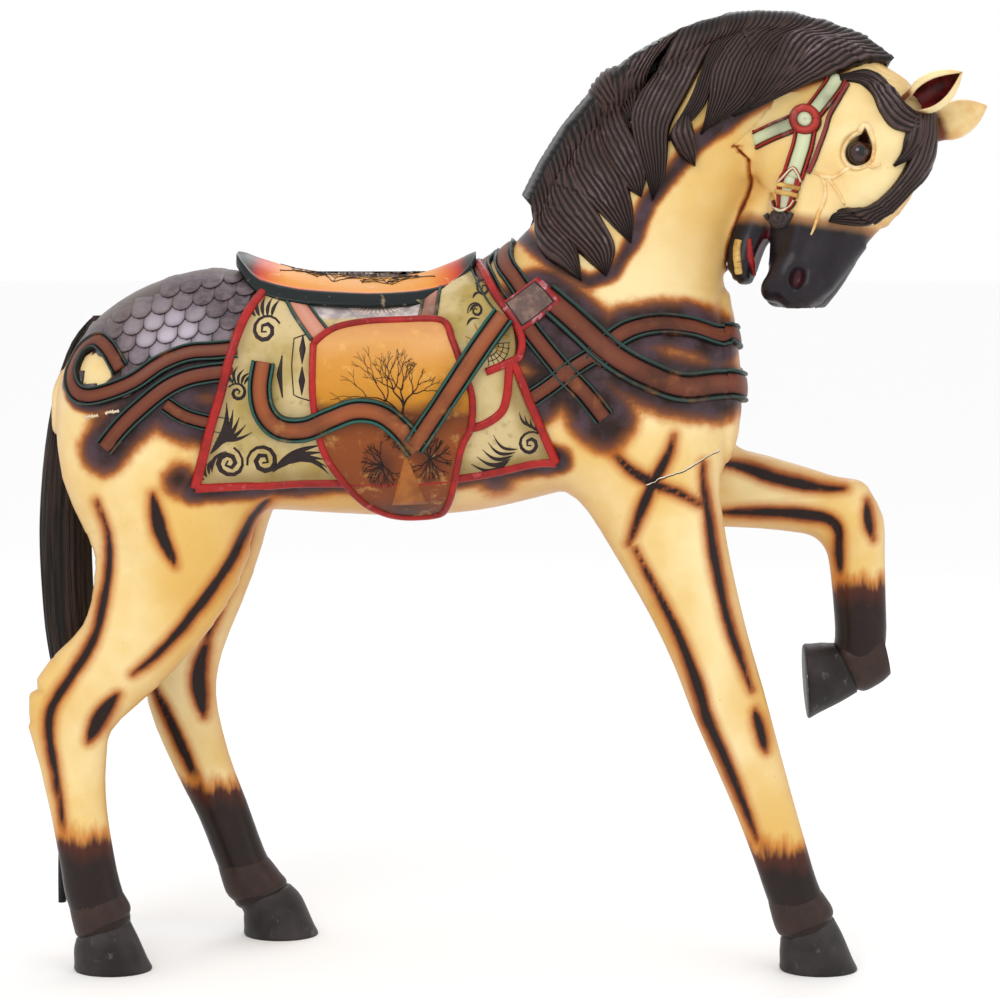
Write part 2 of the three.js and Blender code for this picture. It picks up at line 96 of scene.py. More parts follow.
barrel = {
    "squareness": 2.3,
    "endRound": 10,
    # x, height of the middle, half height, half width
    "stations": [
        (-578, 726, 44, 44), (-559, 728, 76, 74), (-526, 732, 110, 108), (-467, 738, 140, 136),
        (-389, 742, 156, 148), (-312, 735, 147, 150), (-222, 725, 142, 150), (-131, 723, 143, 150),
        (-41, 744, 157, 145), (37, 766, 162, 136), (114, 757, 133, 126), (192, 752, 117, 112),
        (244, 749, 96, 88), (268, 746, 68, 58),
    ],
}
neck = [  # x, y, z, half depth, half width
    (110, 0, 770, 150, 105), (133, 0, 842, 146, 92), (146, 0, 902, 130, 82), (164, 0, 962, 119, 74),
    (194, 0, 1012, 112, 66), (228, 0, 1064, 96, 60), (264, -1, 1110, 74, 56), (312, -3, 1139, 65, 54),
    (376, -5, 1140, 61, 52), (424, -8, 1124, 56, 50),
]
head = {
    "poll": (431, -6, 1132),
    "downFace": (-0.27, -0.2, -0.94),
    "outForehead": (0.911, -0.37, -0.183),
    # down the face, middle, half depth, half width
    "skull": [
        (-24, 18, 66, 34), (0, 14, 86, 48), (35, 14, 102, 58), (78, 14, 109, 61), (121, 12, 105, 58),
        (160, 10, 90, 50), (198, 13, 66, 42), (237, 10, 52, 37), (268, 5, 41, 36), (286, -3, 28, 31),
        (292, -7, 14, 18),
    ],
    "jaw": [(150, -48, 30, 34), (185, -61, 24, 28), (222, -69, 22, 24), (256, -68, 19, 24),
            (273, -62, 10, 16)],
    "eye": (95, 51, 43),
    "eyeRadius": 17,
}
legs = {
    "rightFore": [
        (140, -66, 742, 112, 56), (164, -78, 671, 100, 54), (184, -84, 607, 83, 50), (207, -88, 543, 69, 45),
        (231, -90, 479, 58, 41), (254, -91, 415, 51, 38), (276, -92, 350, 48, 36), (299, -93, 285, 43, 33),
        (322, -94, 220, 38, 28), (344, -95, 155, 35, 26), (361, -95, 103, 34, 30), (380, -95, 58, 35, 33),
    ],
    "leftForearm": [
        (140, 66, 742, 112, 56), (185, 76, 668, 92, 54), (250, 82, 617, 60, 46), (330, 85, 601, 49, 38),
        (393, 85, 588, 43, 34), (440, 85, 574, 40, 33),
    ],
    "leftForeCannon": [
        (442, 85, 590, 34, 28), (454, 85, 558, 41, 33), (460, 85, 509, 37, 27), (464, 85, 456, 35, 26),
        (466, 85, 404, 34, 30), (458, 85, 366, 33, 32),
    ],
    "rightHind": [
        (-438, -60, 722, 130, 66), (-441, -78, 646, 120, 60), (-434, -86, 556, 101, 54),
        (-455, -90, 482, 82, 46), (-496, -92, 412, 62, 39), (-560, -93, 344, 57, 34),
        (-562, -94, 272, 43, 29),
        (-555, -95, 207, 36, 26), (-545, -95, 142, 35, 26), (-538, -95, 103, 36, 30),
        (-524, -95, 60, 35, 33),
    ],
    "leftHind": [
        (-410, 60, 722, 124, 66), (-400, 78, 616, 90, 58), (-411, 84, 509, 70, 48), (-436, 88, 402, 53, 38),
        (-441, 90, 326, 46, 33), (-416, 92, 240, 38, 28), (-388, 94, 172, 34, 26), (-363, 95, 103, 33, 29),
        (-342, 95, 58, 34, 32),
    ],
}

poll = np.array(head["poll"], float)
downFace = unit(np.array(head["downFace"]))
outForehead = np.array(head["outForehead"])
outForehead = unit(outForehead - downFace * (outForehead @ downFace))
headAxes = np.array([downFace, outForehead, np.cross(downFace, outForehead)])


def toHead(points):  # into columns down the face, out of the forehead and to the right
    return (points - poll) @ headAxes.T


def fromHead(coords):  # poll + each column times its axis
    return poll + np.asarray(coords, float) @ headAxes


# distance fields: below zero inside the wood

def ellipseDistance(u, v, w, ru, rv, rw, power=2.0):  # a superellipsoid's value over its own slope
    a, b, c = np.abs(u) / ru, np.abs(v) / rv, np.abs(w) / rw
    q = np.maximum((a**power + b**power + c**power) ** (1 / power), 1e-6)
    slope = np.sqrt(sum((k ** (power - 1) / size) ** 2 for k, size in ((a, ru), (b, rv), (c, rw))))
    return (q - 1) / np.maximum(slope * q ** (1 - power), 1e-6)


def limbField(points, stations, sideways=(0, 1, 0), perSpan=3, roundness=0.6):
    # a chain of bones: at each bone the ellipse of the place t along it, its sizes going from end to end
    rows = smoothRows(stations, perSpan)
    centres, deep, wide = rows[:, :3], rows[:, 3], rows[:, 4]
    tangents = unit(np.vstack([centres[1:2] - centres[:1], centres[2:] - centres[:-2],
                               centres[-1:] - centres[-2:-1]]))
    wideAxes = np.asarray(sideways, float) - tangents * (tangents @ np.asarray(sideways, float))[:, None]
    wideAxes = unit(wideAxes)
    deepAxes = np.cross(tangents, wideAxes)
    value = np.full(len(points), far)
    margin = 50 + max(deep.max(), wide.max())
    near = np.nonzero(np.all((points > centres.min(0) - margin) & (points < centres.max(0) + margin),
                             axis=1))[0]
    close = points[near]
    found = value[near]
    for k in range(len(rows) - 1):
        reach = 50 + max(deep[k:k + 2].max(), wide[k:k + 2].max())
        low, high = centres[k:k + 2].min(0) - reach, centres[k:k + 2].max(0) + reach
        chosen = np.nonzero(np.all((close > low) & (close < high), axis=1))[0]
        if len(chosen) == 0:
            continue
        p = close[chosen] - centres[k]
        span = centres[k + 1] - centres[k]
        t = np.clip(p @ span / (span @ span), 0, 1)
        away = p - t[:, None] * span
        ru = deep[k] + t * (deep[k + 1] - deep[k])
        rv = wide[k] + t * (wide[k + 1] - wide[k])
        deepAxis = deepAxes[k] + t[:, None] * (deepAxes[k + 1] - deepAxes[k])
        wideAxis = wideAxes[k] + t[:, None] * (wideAxes[k + 1] - wideAxes[k])
        ahead = away @ unit(span)
        side = ellipseDistance(
            np.einsum("ij,ij->i", away, deepAxis), np.einsum("ij,ij->i", away, wideAxis), ahead,
            ru, rv, roundness * np.minimum(ru, rv) + 1e-3,
        )
        found[chosen] = np.minimum(found[chosen], side)
    value[near] = found
    return value


barrelRows = smoothRows(barrel["stations"], 4)


def barrelField(points):  # at each x a superellipse of the barrel's height and width, with short round ends
    x = np.clip(points[:, 0], barrelRows[0, 0], barrelRows[-1, 0])
    middle, tall, wide = [np.interp(x, barrelRows[:, 0], barrelRows[:, c]) for c in (1, 2, 3)]
    return ellipseDistance(points[:, 2] - middle, points[:, 1], points[:, 0] - x, tall, wide,
                           barrel["endRound"],
                           barrel["squareness"])


# swellings of muscle: place, half sizes, and the blend into the body; the second is Y for the right side
muscles = [
    ((-470, 84, 690), (92, 62, 116), 60), ((-420, 92, 600), (60, 46, 92), 50),
    ((150, 82, 712), (78, 50, 92), 60), ((214, 60, 712), (62, 52, 74), 50),
    ((246, 38, 760), (36, 40, 60), 40),
]
faceSwellings = [  # in the head's columns: place, half sizes, blend
    ((102, -38, 34), (62, 50, 27), 16), ((92, 54, 46), (26, 24, 20), 14), ((60, 78, 30), (30, 26, 24), 18),
    ((175, -2, 34), (60, 7, 10), 14), ((180, 44, 14), (88, 18, 18), 16), ((262, -6, 24), (26, 20, 15), 12),
    ((272, 26, 18), (18, 18, 16), 12), ((282, -22, 12), (16, 14, 20), 10),
]
faceHollows = [  # eye sockets, nostrils, the corner of the mouth and the hollow before the cheek
    ((95, 51, 54), (24, 21, 17), 9), ((266, 12, 37), (15, 9, 12), 6), ((205, -49, 26), (46, 5, 20), 6),
    ((158, 26, 60), (34, 20, 12), 16), ((262, -49, 0), (44, 7, 40), 4),
]


def headField(points):  # chains for skull and jaw, swellings joined on, sockets, nostrils and mouth cut out
    local = toHead(points)
    near = np.nonzero(np.all((local > (-160, -230, -150)) & (local < (360, 220, 150)), axis=1))[0]
    value = np.full(len(points), far)
    q = local[near]
    skull = limbField(q, [(d, m, 0, a, b) for d, m, a, b in head["skull"]], (0, 0, 1), 2, 0.4)
    jaw = limbField(q, [(d, m, 0, a, b) for d, m, a, b in head["jaw"]], (0, 0, 1), 2, 0.5)
    both = np.column_stack([q[:, :2], np.abs(q[:, 2])])
    for place, sizes, blend in faceSwellings:
        lump = ellipseDistance(*(both - place).T, *sizes)
        skull = softUnion(skull, lump, blend)
    for place, sizes, blend in faceHollows[:4]:
        skull = softCut(skull, ellipseDistance(*(both - place).T, *sizes), blend)
    result = softUnion(skull, jaw, 7)
    place, sizes, blend = faceHollows[4]
    result = softCut(result, ellipseDistance(*(both - place).T, *sizes), blend)
    value[near] = result
    return value


def trunkField(points):  # barrel, legs, muscles on both sides and neck, joined softly
    value = barrelField(points)
    for name, stations in legs.items():
        value = softUnion(value, limbField(points, stations), 26 if name == "leftForeCannon" else 44)
    mirrored = np.column_stack([points[:, 0], np.abs(points[:, 1]), points[:, 2]])
    for place, sizes, blend in muscles:
        value = softUnion(value, ellipseDistance(*(mirrored - place).T, *sizes), blend)
    return softUnion(value, limbField(points, neck), 50)


def bodyField(points):  # the trunk and the head, joined softly
    return softUnion(trunkField(points), headField(points), 26)


def fieldAndSlope(field, points, reach=0.8):  # four samples round each point give both
    corners = np.array([(1, -1, -1), (-1, -1, 1), (-1, 1, -1), (1, 1, 1)], float)
    samples = [field(points + reach * corner) for corner in corners]
    slope = sum(s[:, None] * corner for s, corner in zip(samples, corners)) / (4 * reach)
    return sum(samples) / 4, slope


def settle(points, field, passes=3, most=5.0):  # moves points onto the surface and gives their normals
    for _ in range(passes):
        value, slope = fieldAndSlope(field, points)
        steep = np.maximum((slope**2).sum(1), 0.05)
        move = np.clip(value / np.sqrt(steep), -most, most)
        points = points - move[:, None] * unit(slope)
    return points, unit(fieldAndSlope(field, points)[1])


def surfaceNet(field, low, high, cell):  # one vertex in each cell that the surface crosses
    counts = np.ceil((np.array(high) - low) / cell).astype(int) + 1
    axes = [low[i] + cell * np.arange(counts[i]) for i in range(3)]
    stride = 4
    coarseAxes = [axis[::stride] for axis in axes]
    coarse = np.stack(np.meshgrid(*coarseAxes, indexing="ij"), -1).reshape(-1, 3)
    rough = field(coarse).reshape([len(a) for a in coarseAxes])
    nearest = [np.minimum((np.arange(n) + stride // 2) // stride, len(a) - 1) for n,
               a in zip(counts, coarseAxes)]
    values = rough[np.ix_(*nearest)]
    close = np.nonzero(np.abs(values) < cell * stride * 1.6)
    values[close] = field(np.column_stack([axes[i][close[i]] for i in range(3)]))
    inside = values < 0
    corners = [(i, j, k) for i in (0, 1) for j in (0, 1) for k in (0, 1)]

    def atCorner(grid, corner):  # the grid's values at one corner of every cell
        return grid[tuple(slice(o, n - 1 + o) for o, n in zip(corner, counts))]

    total = sum(atCorner(inside, corner).astype(np.int8) for corner in corners)
    cells = np.nonzero((total > 0) & (total < 8))
    number = np.full(counts - 1, -1)
    number[cells] = np.arange(len(cells[0]))
    place = np.zeros((len(cells[0]), 3))
    hits = np.zeros(len(cells[0]))
    for a in corners:
        for axis in range(3):
            if a[axis] == 1:
                continue
            b = tuple(1 if i == axis else a[i] for i in range(3))
            va, vb = [values[tuple(cells[i] + c[i] for i in range(3))] for c in (a, b)]
            crossed = (va < 0) != (vb < 0)
            t = np.where(crossed, va / np.where(crossed, va - vb, 1), 0)
            offset = np.tile(np.array(a, float), (len(t), 1))
            offset[:, axis] += t
            place += offset * crossed[:, None]
            hits += crossed
    points = np.array(low) + cell * (np.stack(cells, 1) + place / hits[:, None])
    quads = []
    for axis in range(3):
        u, v = [i for i in range(3) if i != axis]
        before = [slice(1, -1)] * 3
        before[axis] = slice(0, -1)
        after = list(before)
        after[axis] = slice(1, None)
        a, b = inside[tuple(before)], inside[tuple(after)]
        where = np.nonzero(a != b)
        base = np.stack(where, 1)
        base[:, u] += 1
        base[:, v] += 1
        around = []
        for du, dv in ((0, 0), (1, 0), (1, 1), (0, 1)):
            corner = base.copy()
            corner[:, u] -= du
            corner[:, v] -= dv
            around.append(number[tuple(corner.T)])
        quad = np.stack(around, 1)
        flip = a[where] == (axis == 1)
        quad[flip] = quad[flip][:, ::-1]
        quads.append(quad)
    return points, np.vstack(quads)


# meshes

def makeMesh(name, points, faces, finish, attributes=None, smooth=True):
    # points, faces and a value per point into one piece that rides on the root
    mesh = bpy.data.meshes.new(name)
    faces = np.asarray(faces, np.int32)
    mesh.vertices.add(len(points))
    mesh.vertices.foreach_set("co", np.ascontiguousarray(points * metre, np.float32).ravel())
    mesh.loops.add(faces.size)
    mesh.loops.foreach_set("vertex_index", faces.ravel())
    mesh.polygons.add(len(faces))
    mesh.polygons.foreach_set("loop_start", np.arange(0, faces.size, faces.shape[1], dtype=np.int32))
    mesh.polygons.foreach_set("use_smooth", np.full(len(faces), smooth))
    mesh.update(calc_edges=True)
    for label, values in (attributes or {}).items():
        layer = mesh.attributes.new(label, "FLOAT", "POINT")
        layer.data.foreach_set("value", np.ascontiguousarray(values, np.float32))
    mesh.materials.append(finish)
    mesh.validate()
    piece = bpy.data.objects.new(name, mesh)
    bpy.context.scene.collection.objects.link(piece)
    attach(piece, "root")
    return piece


def gridFaces(rows, columns, closedRows=False, closedColumns=False):
    # a quad from each point to its neighbours, wrapping round where the grid is closed
    r = np.arange(rows if closedRows else rows - 1)
    c = np.arange(columns if closedColumns else columns - 1)
    r, c = [g.ravel() for g in np.meshgrid(r, c, indexing="ij")]
    r2, c2 = (r + 1) % rows, (c + 1) % columns
    return np.stack([r * columns + c, r * columns + c2, r2 * columns + c2, r2 * columns + c], 1)


def signedVolume(points, faces):  # six times the volume inside quads: the sum of a . (b x c) + a . (c x d)
    a, b, c = [points[faces[:, i]] for i in (0, 1, 2)]
    d = points[faces[:, 3]]
    return (np.einsum("ij,ij->i", a, np.cross(b, c)) + np.einsum("ij,ij->i", a, np.cross(c, d))).sum()


def layer(outer, inner):  # a closed sheet between two grids of points; faces turned to face out
    rows, columns = outer.shape[:2]
    points = np.vstack([outer.reshape(-1, 3), inner.reshape(-1, 3)])
    count = rows * columns
    top = gridFaces(rows, columns)
    rim = np.concatenate([
        np.arange(columns - 1), np.arange(rows - 1) * columns + columns - 1,
        (rows - 1) * columns + np.arange(columns - 1, 0, -1), np.arange(rows - 1, 0, -1) * columns,
    ])
    after = np.roll(rim, -1)
    faces = np.vstack([top, top[:, ::-1] + count, np.stack([after, rim, rim + count, after + count], 1)])
    if signedVolume(points, faces) < 0:
        faces = faces[:, ::-1]
    return points, faces


def tube(rings):  # closed rings in a row, each end drawn in to a point
    rows, columns = rings.shape[:2]
    ends = [np.repeat(r.mean(0, keepdims=True), columns, 0)[None] for r in (rings[0], rings[-1])]
    points = np.vstack([ends[0], rings, ends[1]]).reshape(-1, 3)
    faces = gridFaces(rows + 2, columns, closedColumns=True)
    if signedVolume(points, faces) < 0:
        faces = faces[:, ::-1]
    return points, faces


def joinParts(parts):  # several point and face sets as one
    points = np.vstack([p for p, _ in parts])
    starts = np.cumsum([0] + [len(p) for p, _ in parts[:-1]])
    return points, np.vstack([f + s for (_, f), s in zip(parts, starts)])


# finishes

def paint(code):  # a colour from its code, as linear light
    rgb = [int(code[i:i + 2], 16) / 255 for i in (1, 3, 5)]
    return [c / 12.92 if c < 0.04045 else ((c + 0.055) / 1.055) ** 2.4 for c in rgb] + [1.0]


class Wire:
    # a socket that adds Math nodes when it is used in a sum
    def __init__(self, finish, socket):
        self.finish = finish
        self.socket = socket

    def sum(self, operation, *values):  # one Math node
        return self.finish.node("ShaderNodeMath", {"operation": operation}, *values)

    def __add__(self, other):
        return self.sum("ADD", self, other)

    def __radd__(self, other):
        return self.sum("ADD", other, self)

    def __sub__(self, other):
        return self.sum("SUBTRACT", self, other)

    def __rsub__(self, other):
        return self.sum("SUBTRACT", other, self)

    def __mul__(self, other):
        return self.sum("MULTIPLY", self, other)

    def __rmul__(self, other):
        return self.sum("MULTIPLY", other, self)

    def __truediv__(self, other):
        return self.sum("DIVIDE", self, other)

    def __neg__(self):
        return self.sum("MULTIPLY", self, -1.0)

    def __abs__(self):
        return self.sum("ABSOLUTE", self)


varnish = 0.09  # weight of the coat over the paint


class Finish:
    # a material whose nodes are added by short calls
    def __init__(self, name):
        self.material = bpy.data.materials.new(name)
        self.material.use_nodes = True
        self.tree = self.material.node_tree
        self.shader = self.tree.nodes["Principled BSDF"]
        self.shader.inputs["Specular IOR Level"].default_value = 0.2
        self.place = self.node("ShaderNodeTexCoord", {}, output="Object")

    def node(self, kind, settings, *values, output=0, **named):
        # a node with its settings set first, then its inputs fed by order or by name
        made = self.tree.nodes.new(kind)
        for key, value in settings.items():
            if key == "stops":
                ramp = made.color_ramp
                for spot, (position, color) in enumerate(value):
                    stop = ramp.elements[spot] if spot < 2 else ramp.elements.new(position)
                    stop.position, stop.color = position, color
            else:
                setattr(made, key, value)
        for spot, value in list(enumerate(values)) + [(k.replace("_", " "), v) for k, v in named.items()]:
            self.feed(made.inputs[spot], value)
        return Wire(self, made.outputs[output])

    def feed(self, socket, value):  # a link from a wire, or a fixed value
        if isinstance(value, Wire):
            self.tree.links.new(value.socket, socket)
        elif value is not None:
            socket.default_value = value

    def value(self, name):  # a value that the mesh carries
        return self.node("ShaderNodeAttribute", {"attribute_name": name}, output="Fac")

    def noise(self, scale, detail=3.0, roughness=0.55, stretch=None, distortion=0.0):
        # cloudy values round a half, stretched by the scale on each axis
        place = self.place
        if stretch:
            place = self.node("ShaderNodeMapping", {}, Vector=self.place, Scale=stretch)
        return self.node("ShaderNodeTexNoise", {}, Vector=place, Scale=scale, Detail=detail,
                         Roughness=roughness,
                         Distortion=distortion)

    def step(self, value, low, high):  # 0 below low, 1 above high, smooth between
        return self.node("ShaderNodeMapRange", {"interpolation_type": "SMOOTHSTEP"}, value, low, high, 0.0,
                         1.0)

    def mix(self, amount, first, second, kind="MIX"):  # first * (1 - amount) + second * amount
        settings = {"data_type": "RGBA", "blend_type": kind}
        made = self.node("ShaderNodeMix", settings, output=2)
        inputs = made.socket.node.inputs
        for socket, value in ((inputs[0], amount), (inputs[6], first), (inputs[7], second)):
            self.feed(socket, paint(value) if isinstance(value, str) else value)
        return made

    def ramp(self, place, stops):  # a colour for each place from 0 to 1
        stops = [(spot, paint(code)) for spot, code in stops]
        return self.node("ShaderNodeValToRGB", {"stops": stops}, place)

    def bump(self, height, strength, distance, under=None):  # a normal tilted by the height's slope
        return self.node("ShaderNodeBump", {}, Height=height, Strength=strength, Distance=distance,
                         Normal=under)

    def varnished(self, color, roughness, coatRoughness, height, strength, distance=0.001):
        # paint with a fine relief under a thin coat of varnish
        return self.finish(Base_Color=color, Roughness=roughness, Coat_Weight=varnish,
                           Coat_Roughness=coatRoughness, Normal=self.bump(height, strength, distance))

    def finish(self, **sockets):  # feeds the shader and hands over the material
        for name, value in sockets.items():
            self.feed(self.shader.inputs[name.replace("_", " ")], value)
        return self.material


def hideFinish():  # the cream hide with burnt grooves, halos, dark boots, painted shade by the straps, hem, mane, jaw and eye sockets and on edges and undersides, and an antique varnish
    f = Finish("antiquedCreamPaint")
    broad, fine, speck = f.noise(5.0, 4.0), f.noise(28.0, 4.0, 0.6), f.noise(260.0, 2.0)
    cream = f.mix(f.step(broad, 0.35, 0.68), "#eed9a4", "#dfb868")
    # antique gold tone plus painted shade: golder where the form turns away from the flanks and where it
    # faces down
    cream = f.mix(f.value("antiqueGoldAndShade") * (0.7 + 0.7 * broad), cream, "#b87a24")
    cream = f.mix(f.step(f.noise(2.6, 3.0), 0.5, 0.72) * 0.5, cream, "#d3a24e")
    wander = (broad - 0.5) * 10 + (fine - 0.5) * 9
    reach = f.value("groove") + wander * 0.7
    halo = 1 - f.step(reach, 0.0, 15.0)
    color = f.mix(halo * 0.85, cream, "#b8661c")
    color = f.mix((1 - f.step(reach, -1.0, 6.0)) * 0.9, color, "#7a3208")
    color = f.mix(1 - f.step(f.value("groove") + (fine - 0.5) * 5, -2.5, 1.2), color, "#1d0c06")
    # painted shade, near-black brown, by the straps, in patches, along the blanket's hem, under the mane and
    # along the jaw seam
    paintedShade = f.step(f.value("paintedShade") + (fine - 0.5) * 0.4 + (broad - 0.5) * 0.5, 0.1, 1.0)
    color = f.mix(f.step(paintedShade, 0.0, 0.4) * 0.9, color, "#b5641a")
    color = f.mix(f.step(paintedShade, 0.22, 0.62) * 0.8, color, "#5a2a18")
    color = f.mix(f.step(paintedShade, 0.4, 0.95) * 0.94, color,
                  f.mix(f.step(fine, 0.35, 0.7), "#150908", "#453540"))
    color = f.mix(f.value("scaly") * 0.95, color, f.mix(fine, "#2a1f20", "#4d3f42"))
    boot = f.value("boot") + (f.noise(70.0, 3.0, 0.6, (1, 1, 0.22)) - 0.5) * 46
    color = f.mix(f.step(boot, -26.0, -4.0) * 0.9, color, "#c0752a")
    color = f.mix(f.step(boot, -10.0, 8.0), color, "#4a1f12")
    color = f.mix(f.step(boot, 0.0, 34.0), color, f.mix(fine, "#120a08", "#2b1c17"))
    muzzle = f.value("muzzle") + (fine - 0.5) * 0.3
    color = f.mix(f.step(muzzle, 0.1, 0.5) * 0.8, color, "#8a4a22")
    color = f.mix(f.step(muzzle, 0.4, 0.85), color, f.mix(fine, "#0a0708", "#29222a"))
    color = f.mix(f.value("flesh"), color, "#4a1216")
    # painted shade in the eye socket, inside the lids
    color = f.mix(f.value("socket"), color, "#2a120c")
    dirt = f.step(speck, 0.66, 0.74) * f.step(fine, 0.45, 0.7)
    color = f.mix(dirt * 0.35, color, "#7c4a1c")
    rough = 0.3 + 0.14 * fine + 0.1 * halo
    return f.finish(Base_Color=color, Roughness=rough, Coat_Weight=0.1, Coat_Roughness=0.16,
                    Normal=f.bump(fine * 0.6 + speck * 0.25, 0.25, 0.0012))


# the painted and carved lines of the hide: side, half width, x and z along the middle

grooves = [
    (-1, 5.5, [(-522, 609), (-510, 570), (-510, 530), (-518, 480), (-532, 430), (-558, 388), (-584, 348),
               (-589, 318), (-585, 280), (-577, 225), (-571, 165)]),
    (-1, 8.0, [(-449, 621), (-441, 576), (-423, 530)]),
    (-1, 6.0, [(-299, 618), (-328, 586), (-351, 538), (-379, 496), (-423, 441), (-455, 408), (-480, 390)]),
    (-1, 8.5, [(-500, 362), (-520, 336), (-538, 302)]),
    (-1, 5.5, [(110, 699), (126, 674), (145, 653), (178, 632), (206, 622), (240, 603)]),
    (-1, 6.0, [(203, 693), (196, 669), (176, 630), (162, 598), (148, 555)]),
    (-1, 5.5, [(241, 657), (243, 627), (250, 586), (256, 544), (264, 504), (273, 461), (287, 420),
               (305, 368)]),
    (-1, 6.0, [(155, 549), (179, 501), (202, 456), (221, 412), (238, 364), (248, 328), (265, 291),
               (282, 252),
               (299, 209), (314, 170)]),
    (-1, 6.5, [(309, 342), (316, 319), (324, 290)]),
    (1, 9.0, [(-403, 404), (-415, 357), (-409, 303)]),
    (1, 6.5, [(-481, 350), (-457, 302), (-429, 236), (-409, 190)]),
    (1, 6.5, [(-336, 600), (-352, 540), (-381, 470), (-404, 404)]),
    (1, 7.0, [(262, 648), (306, 637), (349, 622), (406, 610), (440, 608)]),
    (1, 7.0, [(266, 576), (335, 576), (406, 571), (429, 556), (433, 524), (436, 480)]),
    (1, 6.5, [(470, 590), (472, 565), (478, 540)]),
    (1, 5.5, [(110, 699), (145, 653), (178, 632), (240, 603)]),
    (1, 8.0, [(-452, 640), (-444, 590), (-428, 540)]),
    (1, 6.0, [(-482, 620), (-478, 540), (-490, 450), (-484, 370)]),
]
boots = [  # side, lowest and highest x, top of the dark paint
    (-1, 250, 460, 159), (-1, -640, -440, 174), (1, -470, -250, 205), (1, 400, 520, 478),
]
grooveDepth = 2.4
scaleRegion = {
    "low": [(-560, 742), (-506, 748), (-461, 765), (-415, 796), (-366, 806), (-320, 808)],
    "top": [(-560, 800), (-514, 832), (-480, 856), (-440, 876), (-400, 890), (-340, 900), (-320, 900)],
}

# straps carved in relief on each flank: width, x and z along the middle
flankStraps = {
    "breastStrap": (35, [(40, 866), (60, 850), (92, 822), (128, 791), (168, 769), (214, 753), (262, 747)]),
    "upperBreastStrap": (26, [(104, 783), (120, 806), (148, 824), (186, 831), (224, 827), (262, 808)]),
    "shoulderStrap": (28, [(8, 846), (24, 822), (46, 795), (66, 772), (92, 746), (116, 716)]),
    "lowerBreastStrap": (25, [(20, 738), (48, 756), (80, 780), (112, 798)]),
    "croupLoop": (20, [(-343, 801), (-370, 799), (-404, 796), (-437, 783), (-470, 761), (-504, 747),
                       (-530, 742),
                       (-546, 750), (-551, 772), (-540, 796), (-520, 808), (-503, 798), (-488, 776)]),
    "croupStrap": (22, [(-347, 774), (-374, 772), (-404, 766), (-432, 753), (-462, 729), (-486, 706),
                        (-508, 679)]),
    "lowerCroupStrap": (18, [(-352, 706), (-385, 712), (-410, 720), (-432, 734)]),
}
hemLine = [(-397, 629), (-317, 632), (-241, 636), (-71, 641), (57, 660)]  # the blanket's lower edge
shadePatches = [((-28, 700), 66), ((-20, 640), 52), ((-416, 640), 40), ((-130, 610), 60), ((20, 800), 60)]
maneShadow = [(8, 948), (60, 902), (98, 884), (128, 896), (154, 936), (172, 984), (204, 1022), (236, 1060),
              (300, 1104), (360, 1138), (420, 1160)]
shadeRange = {"breastStrap": 46, "upperBreastStrap": 40, "shoulderStrap": 50, "lowerBreastStrap": 46,
              "croupLoop": 20, "croupStrap": 44, "lowerCroupStrap": 44}


def grooveReach(points):  # distance beyond the edge of the nearest groove
    reach = np.full(len(points), 80.0)
    for side, halfWidth, line in grooves:
        away, along = lineDistance(points[:, [0, 2]], smoothRows(line, 3))
        away = away - halfWidth * np.sqrt(np.sin(np.pi * np.clip(along, 0.02, 0.98)))
        reach = np.minimum(reach, np.where(points[:, 1] * side > -8, away, 80.0))
    local = toHead(points)
    return np.where((local[:, 0] > -60) & (local[:, 1] > -60) & (points[:, 2] > 900), 80.0, reach)


